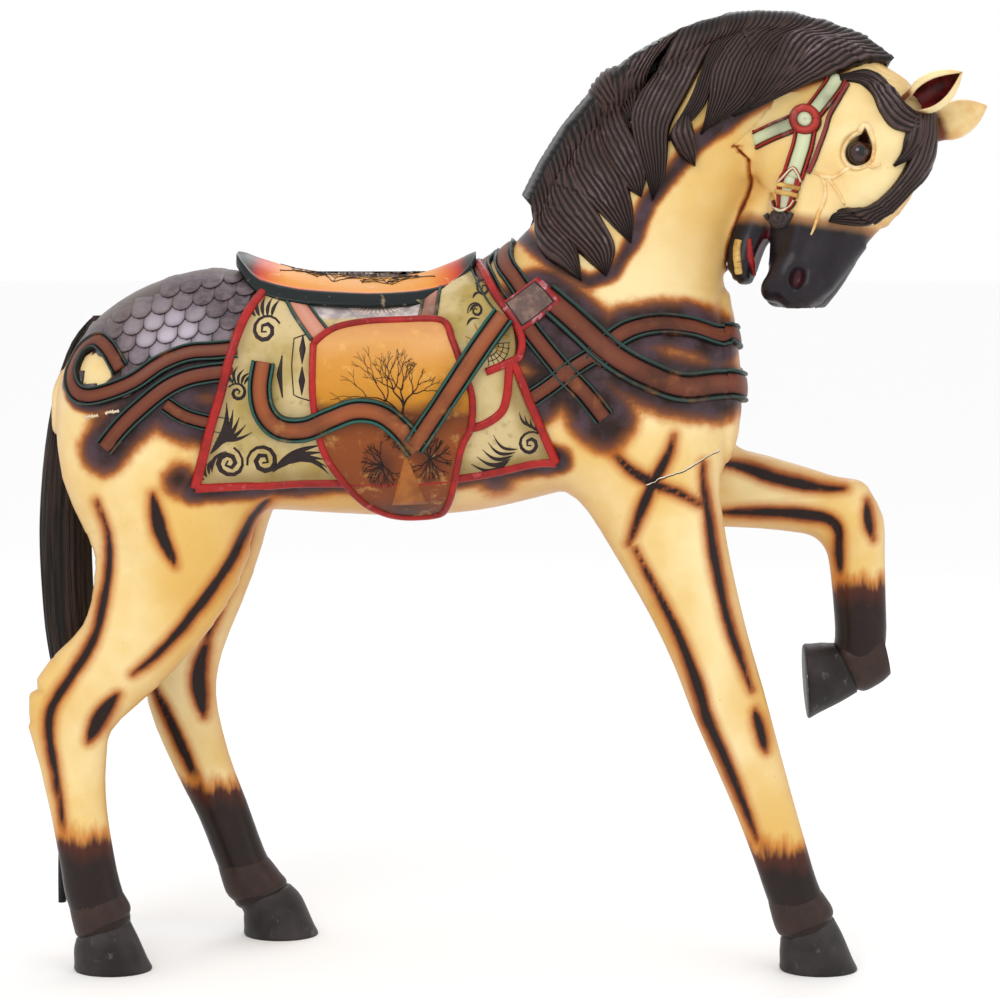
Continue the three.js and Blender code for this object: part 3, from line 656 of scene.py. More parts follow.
def hideValues(points, normals, onHead):
    # what the paint follows at each point: closeness to grooves and boots, painted shade by the straps, hem,
    # mane, jaw and eye sockets, the muzzle and mouth, and a gold tone with painted shade on edges and
    # undersides
    flat = points[:, [0, 2]]
    boot = np.full(len(points), -200.0)
    for side, low, high, top in boots:
        here = (points[:, 0] > low) & (points[:, 0] < high) & (points[:, 2] < top + 90)
        here &= points[:, 1] * side > 0
        boot = np.where(here & (points[:, 2] > (290 if top > 400 else 0)), top - points[:, 2], boot)
    paintedShade = np.zeros(len(points))
    # painted shade beside each strap, fading over its own range
    for name, (width, route) in flankStraps.items():
        away = lineDistance(flat, smoothRows(route, 3))[0] - width / 2
        paintedShade = np.maximum(paintedShade, 1 - np.clip(away / shadeRange[name], 0, 1))
    # painted shade in round patches by the blanket and belly
    for place, size in shadePatches:
        paintedShade = np.maximum(paintedShade, 0.9 * (1 - np.clip(np.hypot(*(flat - place).T) / size, 0, 1)))
    # painted shade along the blanket's hem
    away = lineDistance(flat, hemLine)[0]
    paintedShade = np.maximum(paintedShade, 0.95 * (1 - np.clip((away - 5) / 28, 0, 1)))
    paintedShade *= stepUp(points[:, 2], 560, 600) * (1 - stepUp(points[:, 2], 890, 930))
    away = lineDistance(flat, maneShadow)[0]
    above = np.where(points[:, 2] > 860, 1 - np.clip((away - 2) / 20, 0, 1), 0) * (normals[:, 1] < 0.3)
    paintedShade = np.maximum(paintedShade, 0.85 * above)
    local = toHead(points)
    # painted shade along the seam where the jaw meets the neck
    jawShade = 1 - np.abs(headSide(points)) / 14
    atJaw = (jawShade > 0) & (points[:, 2] > 890) & (points[:, 2] < 1056)
    paintedShade = np.where(atJaw, np.maximum(paintedShade, 0.62 * jawShade), paintedShade)
    muzzle = np.where(onHead, stepUp(local[:, 0] + 0.1 * local[:, 1], 170, 215), 0)
    paintedShade = np.where(onHead & (local[:, 0] > 40) & (local[:, 1] > -70), 0, paintedShade)
    # antique gold tone with painted shade: stronger where the surface turns away from the flanks and where
    # it faces down
    antiqueGoldAndShade = 0.75 * (1 - np.abs(normals[:, 1])) ** 1.4 + 0.25 * np.clip(-normals[:, 2], 0, 1)
    low = np.interp(points[:, 0], *np.array(scaleRegion["low"]).T)
    scaly = stepUp(points[:, 2], low - 12, low + 4) * stepUp(-points[:, 0], 318, 330) * (points[:, 0] > -560)
    inLoop = np.hypot(points[:, 0] + 523, (points[:, 2] - 774) * 1.1) < 24
    scaly, paintedShade = [np.where(inLoop, 0, value) for value in (scaly, paintedShade)]
    both = np.column_stack([local[:, :2], np.abs(local[:, 2])])
    nostril = ellipseDistance(*(both - (266, 12, 37)).T, 14, 9, 14)
    mouth = ellipseDistance(*(both - (236, -49, 0)).T, 46, 8, 24)
    flesh = np.where(onHead, 1 - stepUp(np.minimum(nostril, mouth), -3, 1), 0)
    # painted shade in the eye socket above the eye, inside the pointed lid
    lidLine = np.array([(95, 51), (64, 52)], float)
    away, toPoint = lineDistance(both[:, :2], lidLine)
    socket = np.where(onHead & (both[:, 2] > 20), 1 - stepUp(away - 17 + 13 * toPoint, -3, 3), 0)
    return {"groove": np.clip(grooveReach(points), -20, 80), "boot": boot, "paintedShade": paintedShade, "muzzle": muzzle,
            "scaly": scaly, "flesh": flesh, "socket": socket, "antiqueGoldAndShade": np.clip(antiqueGoldAndShade, 0, 1)}


def carveGrooves(points, normals):
    # point - normal * depth * (1 at the middle of a groove, 0 past its edge)
    return points - normals * (grooveDepth * (1 - stepUp(grooveReach(points), -3.0, 4.0)))[:, None]


solesHeight = 34  # the wood below this is made with the hooves
# the head is a finer mesh beyond this slanted plane
headFace = {"down": 0.5, "out": 0.866, "at": -34, "throat": 130, "lowest": 790, "overlap": 3}


def headSide(points):
    # above zero where the wood belongs to the head: past the slanted plane and nearer the jaw
    local = toHead(points)
    plane = local[:, 0] * headFace["down"] + local[:, 1] * headFace["out"] - headFace["at"]
    jaw = limbField(points, neck) - headField(points) + 3 * np.maximum(headFace["throat"] - local[:, 0], 0)
    return np.minimum(plane, jaw)


def bodyOnly(points):  # the wood on the body's side of the head's cut, above the hooves
    whole = np.maximum(bodyField(points), solesHeight - points[:, 2])
    high = np.nonzero(points[:, 2] > headFace["lowest"])[0]
    whole[high] = np.maximum(whole[high], headSide(points[high]) - headFace["overlap"])
    return whole


def headOnly(points):  # the wood on the head's side of the cut
    return np.maximum(bodyField(points), -headSide(points))


def hidePiece(name, field, low, high, cell):
    # a net over the field, settled on it, then carved and given its paint values
    points, faces = surfaceNet(field, low, high, cell)
    onHead = np.full(len(points), name == "carvedHead")
    points, normals = settle(points, field, 2)
    attributes = hideValues(points, normals, onHead)
    return makeMesh(name, carveGrooves(points, normals), faces, hide, attributes)


hide = hideFinish()
bodyPiece = hidePiece("carvedBody", bodyOnly, (-650, -180, 20), (560, 180, 1240), 6.0)
print("body", len(bodyPiece.data.polygons))
headPiece = hidePiece("carvedHead", headOnly, (270, -190, 850), (570, 90, 1230), 3.4)
print("head", len(headPiece.data.polygons))
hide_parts("carved_horse")


# laying carved work on the wood

def march(field, x, z, side, start=190, steps=22):  # from outside, in along Y, to the surface
    points = np.column_stack([x, np.full(len(x), side * float(start)), z])
    for _ in range(steps):
        points[:, 1] -= side * np.clip(field(points), -6, 40) * 0.85
        points[:, 1] = side * np.maximum(side * points[:, 1], 0)
    return points[:, 1]


class SideMap:  # y of the surface for x and z, on a coarse grid, seen from one side
    def __init__(self, field, low, high, step, side):  # y of the surface at each knot of the grid
        self.low, self.step = np.array(low, float), step
        self.counts = ((np.array(high) - low) / step).astype(int) + 1
        x, z = np.meshgrid(*[self.low[i] + step * np.arange(self.counts[i]) for i in (0, 1)], indexing="ij")
        self.y = march(field, x.ravel(), z.ravel(), side).reshape(self.counts)

    def place(self, flat):  # (x, z) to (x, y, z)
        flat = np.asarray(flat, float)
        spot = np.clip((flat - self.low) / self.step, 0, self.counts - 1.001)
        i, j = np.floor(spot[..., 0]).astype(int), np.floor(spot[..., 1]).astype(int)
        u, v = spot[..., 0] - i, spot[..., 1] - j
        near = self.y[i, j] * (1 - v) + self.y[i, j + 1] * v
        away = self.y[i + 1, j] * (1 - v) + self.y[i + 1, j + 1] * v
        return np.stack([flat[..., 0], near * (1 - u) + away * u, flat[..., 1]], -1)


def resample(path, count=None, spacing=4.0):  # evenly spaced along its length
    path = np.asarray(path, float)
    lengths = np.concatenate([[0], np.cumsum(np.linalg.norm(np.diff(path, axis=0), axis=1))])
    count = count or max(int(lengths[-1] / spacing) + 1, 4)
    places = np.linspace(0, lengths[-1], count)
    return np.stack([np.interp(places, lengths, path[:, c]) for c in range(path.shape[1])], 1)


def along(path):  # the length travelled at each point
    return np.concatenate([[0], np.cumsum(np.linalg.norm(np.diff(path, axis=0), axis=1))])


def laid(grid, field, passes=2):  # a grid settled on the wood, with its normals
    points, normals = settle(grid.reshape(-1, 3), field, passes, 8.0)
    return points.reshape(grid.shape), normals.reshape(grid.shape)


class Parts:  # closed shells gathered into one piece
    def __init__(self):
        self.sets, self.values = [], []

    def add(self, points, faces, **values):  # one more shell, with a value for all of it or for each point
        self.sets.append((points, faces))
        self.values.append({name: np.broadcast_to(value, len(points)) for name, value in values.items()})

    def column(self, name):  # one value for every point so far, 0 where a shell has none
        return np.concatenate([own.get(name, np.zeros(len(p))) for own,
                               (p, _) in zip(self.values, self.sets)])

    def make(self, name, finish, slotName="painted_wood", **more):  # all shells as one piece
        points, faces = joinParts(self.sets)
        names = sorted({key for own in self.values for key in own})
        return makeMesh(name, points, faces, finish, {**{key: self.column(key) for key in names}, **more})


def mirrorProfile(half):  # the half, then the same turned round the middle
    return np.array(half + [(-a, h) for a, h in half[-2::-1]])


# across from one edge to the middle, and height as a share
strapProfile = mirrorProfile([(-1, 0), (-0.98, 0.6), (-0.92, 0.92), (-0.84, 1.0), (-0.76, 0.88),
                              (-0.70, 0.35),
                              (-0.66, 0.25), (-0.62, 0.6), (-0.57, 0.72), (-0.3, 0.78), (0, 0.8)])
cordProfile = mirrorProfile([(-1, 0), (-0.93, 0.45), (-0.75, 0.78), (-0.4, 0.97), (0, 1)])
strokeProfile = mirrorProfile([(-1, 0.3), (-0.6, 1), (0, 1)])


def laidBand(parts, guide, width, lift, height, profile, field, spacing=4.0, sink=3.0, **values):
    # a band of a given profile along a guide, laid on the wood: path + across * a * width / 2 + out * height
    path, normals = settle(resample(smoothRows(guide, 6), spacing=spacing), field, 3, 12.0)
    travelled = along(path)
    across = unit(np.cross(normals, unit(np.gradient(path, axis=0))))
    widths = np.interp(travelled / travelled[-1], np.linspace(0, 1, np.size(width)), np.atleast_1d(width))
    grid = path[:, None] + across[:, None] * (profile[:, 0] * widths[:, None] / 2)[..., None]
    grid, out = laid(grid, field)
    outer = grid + out * (lift + height * profile[:, 1])[None, :, None]
    points, faces = layer(outer, grid + out * (lift - sink))
    a = np.tile(profile[:, 0], len(path))
    run = np.repeat(travelled, len(profile))
    parts.add(points, faces, across=np.tile(a, 2), along=np.tile(run, 2), **values)


def laidPanel(parts, flat, sideMap, field, lift, sink=4.0, rise=None, **values):
    # a sheet over a grid of x and z, lifted off the wood
    grid, out = laid(sideMap.place(flat), field)
    height = lift if rise is None else lift + rise[..., None]
    points, faces = layer(grid + out * height, grid + out * (lift - sink))
    doubled = {key: np.tile(value.ravel(), 2) for key, value in values.items()}
    x, z = [np.tile(flat[..., i].ravel(), 2) for i in (0, 1)]
    parts.add(points, faces, flatX=x, flatZ=z, **doubled)


def laidStrokes(parts, strokes, sideMap, field, lift, height=0.7, rows=16, **values):
    # many thin painted strokes at once: each is a line in x and z with a width at each point
    columns = len(strokeProfile)
    lines = np.stack([resample(np.column_stack([line, widths]), rows) for line, widths in strokes])
    path, widths = lines[..., :2], lines[..., 2]
    heading = unit(np.gradient(path, axis=1))
    across = np.stack([-heading[..., 1], heading[..., 0]], -1)
    flat = path[:, :, None] + across[:, :, None] * (strokeProfile[:, 0] * widths[..., None] / 2)[..., None]
    grid, out = laid(sideMap.place(flat), field)
    outer = grid + out * (lift + height * strokeProfile[:, 1])[None, None, :, None]
    inner = grid + out * (lift - 1.0)
    for upper, lower in zip(outer, inner):
        points, faces = layer(upper, lower)
        parts.add(points, faces, **values)


rightMap = SideMap(trunkField, (-640, 540), (310, 930), 10, -1)
leftMap = SideMap(trunkField, (-640, 540), (310, 930), 10, 1)
sideMaps = {-1: rightMap, 1: leftMap}
sideNames = {-1: "right", 1: "left"}
print("side maps")


# finishes of the saddlery

def bandFinish(name, stops, worn="#c79a55", wear=0.35, roughness=0.38, grain=None):
    # colour by place across a band, darkened by grime and worn through on the high parts
    f = Finish(name)
    fine, broad = f.noise(45.0, 4.0, 0.6), f.noise(11.0, 3.0)
    place = abs(f.value("across")) + (fine - 0.5) * 0.05
    color = f.ramp(place, stops)
    color = f.mix(f.step(fine * broad * 4, 1.15, 1.8) * wear, color, worn)
    color = f.mix(f.step(broad, 0.45, 0.72) * 0.6, color, "#1c100c")
    weave = f.noise(240.0, 2.0, 0.5, grain or (1, 1, 1))
    return f.finish(Base_Color=color, Roughness=roughness + 0.15 * fine, Coat_Weight=varnish,
                    Coat_Roughness=0.25,
                    Normal=f.bump(weave * 0.5 + fine * 0.5, 0.45, 0.0012))


def plainPaint(name, light, dark, roughness=0.35, worn=None, metallic=0.0):
    # two tones of one colour by noise, worn through in spots
    f = Finish(name)
    fine, broad = f.noise(60.0, 4.0, 0.6), f.noise(9.0, 3.0)
    color = f.mix(f.step(broad * 0.6 + fine * 0.4, 0.38, 0.62), light, dark)
    if worn:
        color = f.mix(f.step(fine, 0.6, 0.72) * 0.6, color, worn)
    return f.finish(Base_Color=color, Roughness=roughness + 0.12 * fine, Metallic=metallic,
                    Coat_Weight=varnish,
                    Coat_Roughness=0.22, Normal=f.bump(fine, 0.3, 0.001))


strapPaint = bandFinish("brownStrapPaint", [
    (0.0, "#6f3a24"), (0.45, "#643020"), (0.58, "#4a2016"), (0.63, "#0d0706"), (0.71, "#0d0907"),
    (0.76, "#22322e"), (0.88, "#2f4a44"), (1.0, "#0b0b0a"),
], worn="#a3602f", wear=0.6)
stirrupPaint = bandFinish("stirrupStrapPaint", [
    (0.0, "#94502a"), (0.42, "#874524"), (0.57, "#5c2c16"), (0.63, "#0d0706"), (0.7, "#10140f"),
    (0.76, "#275a50"), (0.88, "#2b544c"), (1.0, "#0a100e"),
], worn="#c98a48", wear=0.6)
pinkPaint = bandFinish("pinkStrapPaint", [
    (0.0, "#c98f7c"), (0.6, "#bf8068"), (0.7, "#6a3a2c"), (0.74, "#1c1613"), (0.82, "#355c50"),
    (1.0, "#20302b"),
], worn="#e6c0a8", wear=0.5)
redPaint = plainPaint("redBorderPaint", "#a8221f", "#7c1816", worn="#c9565a")
darkStroke = plainPaint("darkScrollPaint", "#2a1c1c", "#1d1314", 0.4)
treeStroke = plainPaint("darkTreePaint", "#2c140c", "#1c0c08", 0.4)
paleStroke = plainPaint("paleSunburstPaint", "#eedfd2", "#dcb8b0", 0.4)


def blanketFinish():  # khaki in two tones, lilac under the seat, darker at the rim
    f = Finish("khakiBlanketPaint")
    fine, broad = f.noise(70.0, 4.0, 0.6), f.noise(12.0, 3.0)
    color = f.mix(f.step(broad, 0.38, 0.64), "#c8b383", "#a68f4e")
    color = f.mix(f.step(fine, 0.55, 0.72) * 0.5, color, "#8a7440")
    lilac = f.step(f.value("lilac") + (broad - 0.5) * 0.5, 0.25, 0.7)
    color = f.mix(lilac, color, f.mix(f.step(fine, 0.4, 0.6), "#cfc2bd", "#a59a9a"))
    color = f.mix(f.step(f.value("rim"), 0.2, 1.0) * 0.55, color, "#6d5428")
    return f.varnished(color, 0.4, 0.25, fine, 0.3)


def flapFinish():  # a sunset by height, burnt round the roots
    f = Finish("sunsetFlapPaint")
    fine, broad = f.noise(55.0, 4.0, 0.6), f.noise(10.0, 4.0, 0.55, (1, 1, 2.6), 0.6)
    height = f.value("flatZ") + (broad - 0.5) * 46
    stops = [(0.0, "#3c180b"), (0.16, "#7a3912"), (0.42, "#824014"), (0.53, "#6c3410"), (0.62, "#c0801f"),
             (0.78, "#c98a34"), (0.9, "#d39a5a"), (1.0, "#c98c58")]
    color = f.ramp((height - 585) * (1 / 250), stops)
    color = f.mix(f.step(f.value("burst"), 0.0, 1.0) * 0.8, color, "#3a170c")
    color = f.mix(f.step(fine, 0.55, 0.75) * 0.3, color, "#f0c070")
    return f.varnished(color, 0.34 + 0.1 * fine, 0.2, fine, 0.25)


# the blanket, its borders and scrolls

blanketEdges = {  # x and z from the seat down to the hem
    "back": [(-308, 905), (-311, 873), (-335, 838), (-349, 801), (-362, 751), (-378, 700), (-397, 629)],
    "front": [(-62, 905), (-44, 886), (-21, 866), (-2, 836), (4, 805), (2, 775), (16, 735), (34, 700),
              (57, 660)],
    "hem": hemLine,
    "lobe": [(-46, 912), (-21, 869), (4, 832), (12, 811), (8, 792), (-2, 786), (-18, 779), (-33, 773)],
    "lower": [(-67, 703), (-40, 707), (-15, 723), (-7, 745), (-2, 786), (12, 760), (23, 732), (57, 660)],
}
blanket = {"lift": 6.0, "rows": 72, "columns": 92, "cordHeight": 5.0}
flapOutline = [(-249, 804), (-220, 822), (-164, 829), (-89, 832), (-74, 810), (-62, 776), (-51, 745),
               (-52, 707),
               (-66, 676), (-84, 607), (-98, 596), (-140, 594), (-177, 607), (-215, 645), (-237, 682),
               (-248, 739),
               (-249, 804)]
flap = {"lift": 10.0, "columns": 50, "cordWidth": 9}
flapRows = [  # z, and x at the back and the front
    (831, -150, -92), (826, -205, -84), (812, -238, -76), (790, -248, -66), (745, -249, -52),
    (690, -240, -58), (642, -213, -74), (606, -177, -84), (595, -140, -100),
]
rootPlaces = [((-162, 660), 30), ((-102, 666), 30), ((-134, 700), 26), ((-134, 600), 34)]


def spiral(centre, radius, turns, start, hand, width):  # radius shrinking as the angle grows
    t = np.linspace(0, 1, 26)
    angle = start + hand * 2 * np.pi * turns * t
    reach = radius * (1 - 0.86 * t ** 0.8)
    line = np.column_stack([centre[0] + reach * np.cos(angle), centre[1] + reach * np.sin(angle)])
    return line, width * (0.35 + 0.65 * np.sin(np.pi * np.clip(t * 1.1, 0.05, 1)))


def leaf(base, tip, bend, width):  # a bowed stroke, thickest before the middle
    t = np.linspace(0, 1, 12)
    base, tip = np.array(base, float), np.array(tip, float)
    side = np.array([-(tip - base)[1], (tip - base)[0]])
    line = base + t[:, None] * (tip - base) + (bend * np.sin(np.pi * t))[:, None] * side
    return line, width * np.maximum(np.sin(np.pi * t ** 0.75), 0.08)


def scrolls():  # spirals, fans of leaves, and spindles in a narrow panel
    strokes = [
        spiral((-309, 822), 19, 1.8, 0.4, 1, 5.4), spiral((-342, 748), 13, 1.6, 2.6, -1, 4.4),
        spiral((-356, 661), 21, 1.9, 1.2, -1, 6.6), spiral((-311, 664), 22, 1.9, 3.4, -1, 6.6),
        spiral((-34, 872), 12, 1.5, 0.5, 1, 3.2), spiral((-44, 846), 11, 1.5, 3.5, -1, 3.2),
        spiral((22, 684), 17, 1.7, 0.9, 1, 5.0),
    ]
    for step in range(5):
        strokes += [leaf(*fan) for fan in (  # base, tip, bend, width
            ((-322 + 5 * step, 838), (-330 + 9 * step, 862 - abs(step - 2) * 3), 0.12, 4.6),
            ((-378 + 2 * step, 672 + 5 * step), (-356 + 8 * step, 736 - 9 * step), -0.12, 9.0 - step),
            ((-300 + 8 * step, 650 + 5 * step), (-238 + 2 * step, 684 - 9 * step), 0.1, 8.6 - step * 0.8),
            ((-346 + 3 * step, 758), (-350 + 8 * step, 784 - 4 * step), 0.2, 3.6),
            ((-6 + 3 * step, 662 + 4 * step), (-52 + 7 * step, 660 + 9 * step), 0.22, 5.6 - 0.5 * step),
            ((26 + 4 * step, 706 - 3 * step), (8 + 7 * step, 724 - 4 * step), 0.2, 3.4),
        )]
    for step in range(4):
        strokes += [leaf(*fan) for fan in (
            ((-386 + 3 * step, 640 + 3 * step), (-394 + 12 * step, 652 + 8 * step), 0.2, 4.4),
            ((-56 + 4 * step, 828 + 16 * step), (-40 + 2 * step, 836 + 15 * step), 0.25, 3.2),
        )]
    for x, z in ((-262, 799), (-262, 762)):  # spindles in the narrow panel
        strokes.append((np.array([(x, z - 17), (x, z), (x, z + 17)], float), np.array([1.0, 8.5, 1.0])))
    strokes.append((np.array([(-287, 792), (-290, 770), (-286, 742)], float), np.array([1.5, 7.0, 1.5])))
    panel = [(-252, 818), (-273, 812), (-275, 780), (-272, 744), (-252, 738)]
    strokes.append((np.array(panel, float), np.full(5, 1.5)))
    return strokes


def goldRays():  # leaves of one length pointing away from the peg
    strokes = []
    for angle in (0.15, 0.75, 1.35, 2.2, 3.0, 3.9, 4.7, 5.4):
        tip = (-31 + 27 * math.cos(angle), 812 + 24 * math.sin(angle))
        strokes.append(leaf((-31, 812), tip, 0.1, 3.4))
    return strokes


def fanLines():  # arcs round a point and spokes across them
    strokes = []
    for radius in (14, 20, 27):
        t = np.linspace(-1.5, 0.1, 10)
        strokes.append((np.column_stack([-31 + radius * np.cos(t), 806 + radius * np.sin(t)]),
                        np.full(10, 1.0)))
    for t in np.linspace(-1.5, 0.1, 7):
        ends = [(-31 + r * math.cos(t), 806 + r * math.sin(t)) for r in (13, 28)]
        strokes.append((np.array(ends), np.full(2, 0.9)))
    return strokes


def sunburst():  # rays from an ellipse to a larger one
    strokes = []
    for angle in np.linspace(0, 2 * np.pi, 38, endpoint=False):
        c, s = math.cos(angle), math.sin(angle)
        strokes.append(leaf((-172 + 26 * c, 850 + 5.5 * s), (-172 + 40 * c, 850 + 11.5 * s), 0.0, 2.4))
    return strokes


def growTree(base, heading, length, width, depth, dice, strokes):  # a limb that forks into thinner ones
    t = np.linspace(0, 1, 8)[:, None]
    heading = heading + dice.normal(0, 0.12)
    tip = base + length * np.array([math.cos(heading), math.sin(heading)])
    sideways = np.array([-math.sin(heading), math.cos(heading)])
    wave = sideways * np.sin(t * 5 + dice.uniform(0, 6)) * length * 0.05
    strokes.append((base + t * (tip - base) + wave - wave[0], np.linspace(width, width * 0.6, 8)))
    if depth == 0:
        return
    forks = 3 if depth > 3 else 2
    for fork in range(forks):
        turn = (fork - (forks - 1) / 2) * 0.62 + dice.normal(0, 0.12)
        growTree(strokes[-1][0][-1] if fork == 0 else tip, heading + turn, length * dice.uniform(0.66, 0.84),
                 width * 0.62, depth - 1, dice, strokes)


def treeAndRoots():  # two limbs growing up, and fans of short ones round three places
    dice = np.random.default_rng(7)
    strokes = []
    growTree(np.array([-134.0, 706.0]), 1.62, 26, 4.2, 5, dice, strokes)
    growTree(np.array([-136.0, 716.0]), 2.35, 30, 2.6, 4, dice, strokes)
    for centre, low, high in (((-162, 662), 1.9, 5.6), ((-104, 668), -2.2, 2.2), ((-134, 704), 2.9, 6.4)):
        for heading in np.linspace(low, high, 13):
            growTree(np.array(centre, float), heading, 12, 1.9, 2, dice, strokes)
    return strokes


blanketPaint, flapPaint = blanketFinish(), flapFinish()
goldStroke = plainPaint("goldRayPaint", "#c8952e", "#8a5a1c", 0.35)
peakStroke = plainPaint("flapPeakPaint", "#a86428", "#7c451a", 0.35)
for side in (-1, 1):
    sideMap, sideName = sideMaps[side], sideNames[side]
    cloth, border, marks = Parts(), Parts(), Parts()
    rows, columns, cordHeight = blanket["rows"], blanket["columns"], blanket["cordHeight"]
    back = resample(smoothRows(blanketEdges["back"], 6), rows)
    front = resample(smoothRows(blanketEdges["front"], 6), rows)
    u = np.linspace(0, 1, columns)[None, :, None]
    flat = back[:, None] * (1 - u) + front[:, None] * u
    hem = np.array(blanketEdges["hem"], float)
    drop = np.linspace(0, 1, rows)[:, None] ** 3
    sag = np.interp(flat[-1, :, 0], hem[:, 0], hem[:, 1]) - flat[-1, :, 1]
    flat[..., 1] += drop * sag[None]
    x, z = flat[..., 0], flat[..., 1]
    lilac = stepUp(z, 826, 842) * stepUp(x, -300, -262) * (1 - stepUp(x, -112, -96))
    v = np.linspace(0, 1, rows)[:, None] + 0 * u[..., 0]
    edgeNear = np.minimum(np.minimum(u[..., 0], 1 - u[..., 0]) * 360, (1 - v) * 260)
    rim = 1 - np.clip((edgeNear - 8) / 22, 0, 1)
    laidPanel(cloth, flat, sideMap, trunkField, blanket["lift"], lilac=lilac, rim=rim)
    cloth.make(sideName + "Blanket", blanketPaint)
    for name, width in (("back", 12), ("hem", 11), ("lobe", 10), ("lower", 11)):
        laidBand(border, sideMap.place(blanketEdges[name]), width, blanket["lift"] - 1, cordHeight,
                 cordProfile, trunkField)
    flapParts = Parts()
    height, backX, frontX = [column[:, None] for column in smoothRows(flapRows, 5).T]
    u = np.linspace(0, 1, flap["columns"])
    flat = np.stack([backX * (1 - u) + frontX * u, height + 0 * u], -1)
    laidPanel(flapParts, flat, sideMap, trunkField, flap["lift"], 6.0)
    x, z = flapParts.column("flatX"), flapParts.column("flatZ")
    burst = np.zeros(len(x))
    for place, size in rootPlaces:
        burst = np.maximum(burst, 1 - np.clip(np.hypot(x - place[0], (z - place[1]) * 0.8) / size, 0, 1))
    flapParts.make(sideName + "Flap", flapPaint, burst=burst)
    laidBand(border, sideMap.place(flapOutline), flap["cordWidth"], flap["lift"] - 1, cordHeight,
             cordProfile, trunkField)
    border.make(sideName + "RedBorders", redPaint)
    laidStrokes(marks, scrolls() + fanLines(), sideMap, trunkField, blanket["lift"])
    marks.make(sideName + "Scrollwork", darkStroke)
    trees = Parts()
    laidStrokes(trees, treeAndRoots(), sideMap, trunkField, flap["lift"], 0.6, 8)
    trees.make(sideName + "BareTree", treeStroke)
    rays, peak, pale = Parts(), Parts(), Parts()
    laidStrokes(rays, goldRays(), sideMap, trunkField, blanket["lift"], 1.6)
    wedge = [(np.array([(-133, 672), (-130, 612)], float), np.array([1.5, 44.0]))]
    laidStrokes(peak, wedge, sideMap, trunkField, flap["lift"], 1.2)
    peak.make(sideName + "FlapPeak", peakStroke)
    rays.make(sideName + "GoldRays", goldStroke)
    laidStrokes(pale, sunburst(), sideMap, trunkField, blanket["lift"], 1.0)
    pale.make(sideName + "Sunburst", paleStroke)
print("blanket and flap")


# straps

strap = {"height": 6.5, "margin": 4}  # how far a strap stands out, and what its edge cords add
stirrupRoutes = [  # width, lift above the flap, x and z
    (30, 2.0, [(-310, 783), (-314, 752), (-308, 724), (-289, 706), (-258, 704), (-226, 716), (-195, 726),
               (-164, 722), (-139, 704), (-119, 680)]),
    (28, 3.5, [(-10, 838), (-39, 802), (-71, 758), (-102, 714), (-124, 684)]),
]
girthRoutes = [(30, [(-283, 865), (-262, 840), (-241, 815)]), (26, [(-98, 868), (-102, 850), (-106, 832)])]
for side in (-1, 1):
    sideMap, sideName = sideMaps[side], sideNames[side]
    belts, stirrups, girths = Parts(), Parts(), Parts()
    for name in ("shoulderStrap", "lowerBreastStrap"):
        width, route = flankStraps[name]
        laidBand(belts, sideMap.place(route), width, 0, strap["height"], strapProfile, trunkField)
    for name, lift in (("lowerCroupStrap", 0.0), ("croupStrap", 1.0), ("croupLoop", 3.0)):
        width, route = flankStraps[name]
        laidBand(belts, sideMap.place(route), width + strap["margin"], lift, strap["height"], strapProfile,
                 trunkField)
    belts.make(sideName + "Straps", strapPaint)
    for width, lift, route in stirrupRoutes:
        laidBand(stirrups, sideMap.place(route), width, flap["lift"] + lift, strap["height"], strapProfile,
                 trunkField)
    stirrups.make(sideName + "StirrupStraps", stirrupPaint)
    for width, route in girthRoutes:
        laidBand(girths, sideMap.place(route), width, blanket["lift"], 3.0, strapProfile, trunkField)
    girths.make(sideName + "GirthStraps", pinkPaint)
print("straps")


# the breast collar, the straps over the withers and their keepers

chestFront = {"x": 276, "cornerX": 256, "cornerY": 62}
keeperRoute = [(-4, 838), (12, 848), (28, 860), (46, 873)]
collar, keepers, overWithers = Parts(), Parts(), Parts()
for name, lift in (("upperBreastStrap", 0.0), ("breastStrap", 2.5)):
    width, route = flankStraps[name]
    near = rightMap.place([spot for spot in route if spot[0] < 240])
    away = leftMap.place([spot for spot in route if spot[0] < 240])[::-1]
    frontZ = route[-1][1]
    corner = (chestFront["cornerX"], chestFront["cornerY"], frontZ + 1)
    front = [np.multiply(corner, (1, -1, 1)), (chestFront["x"], 0, frontZ), corner]
    laidBand(collar, np.vstack([near, front, away]), width + strap["margin"], lift, strap["height"],
             strapProfile, trunkField)
collar.make("breastCollar", strapPaint)
for route in ([(20, 862), (6, 884), (-8, 905)], [(-9, 850), (-24, 870), (-38, 898)]):
    near = rightMap.place(route)
    away = leftMap.place(route)[::-1]
    top = [(route[-1][0] - 6, 0, 938)]
    laidBand(overWithers, np.vstack([near, top, away]), 27, 1.0, strap["height"], strapProfile, trunkField)
overWithers.make("withersStraps", strapPaint)


def plateFinish():  # worn brown inside a dark line and a red edge
    f = Finish("keeperPaint")
    fine = f.noise(60.0, 4.0, 0.6)
    edge = f.node("ShaderNodeMath", {"operation": "MAXIMUM"}, abs(f.value("across")), f.value("end"))
    color = f.mix(f.step(fine, 0.4, 0.65), "#5e4a45", "#84695c")
    color = f.mix(f.step(edge, 0.7, 0.74), color, "#120b0b")
    color = f.mix(f.step(edge, 0.77, 0.8), color, f.mix(f.step(fine, 0.5, 0.65), "#8e2226", "#b9848a"))
    return f.varnished(color, 0.4, 0.25, f.noise(260.0, 2.0), 0.4)


keeperPaint = plateFinish()
for side in (-1, 1):
    laidBand(keepers, sideMaps[side].place(keeperRoute), 46, 5.5, 5.0, cordProfile, trunkField)
run = keepers.column("along")
keepers.make("keepers", keeperPaint, end=np.abs(2 * run / run.max() - 1))
print("collar")


# scales on the croup

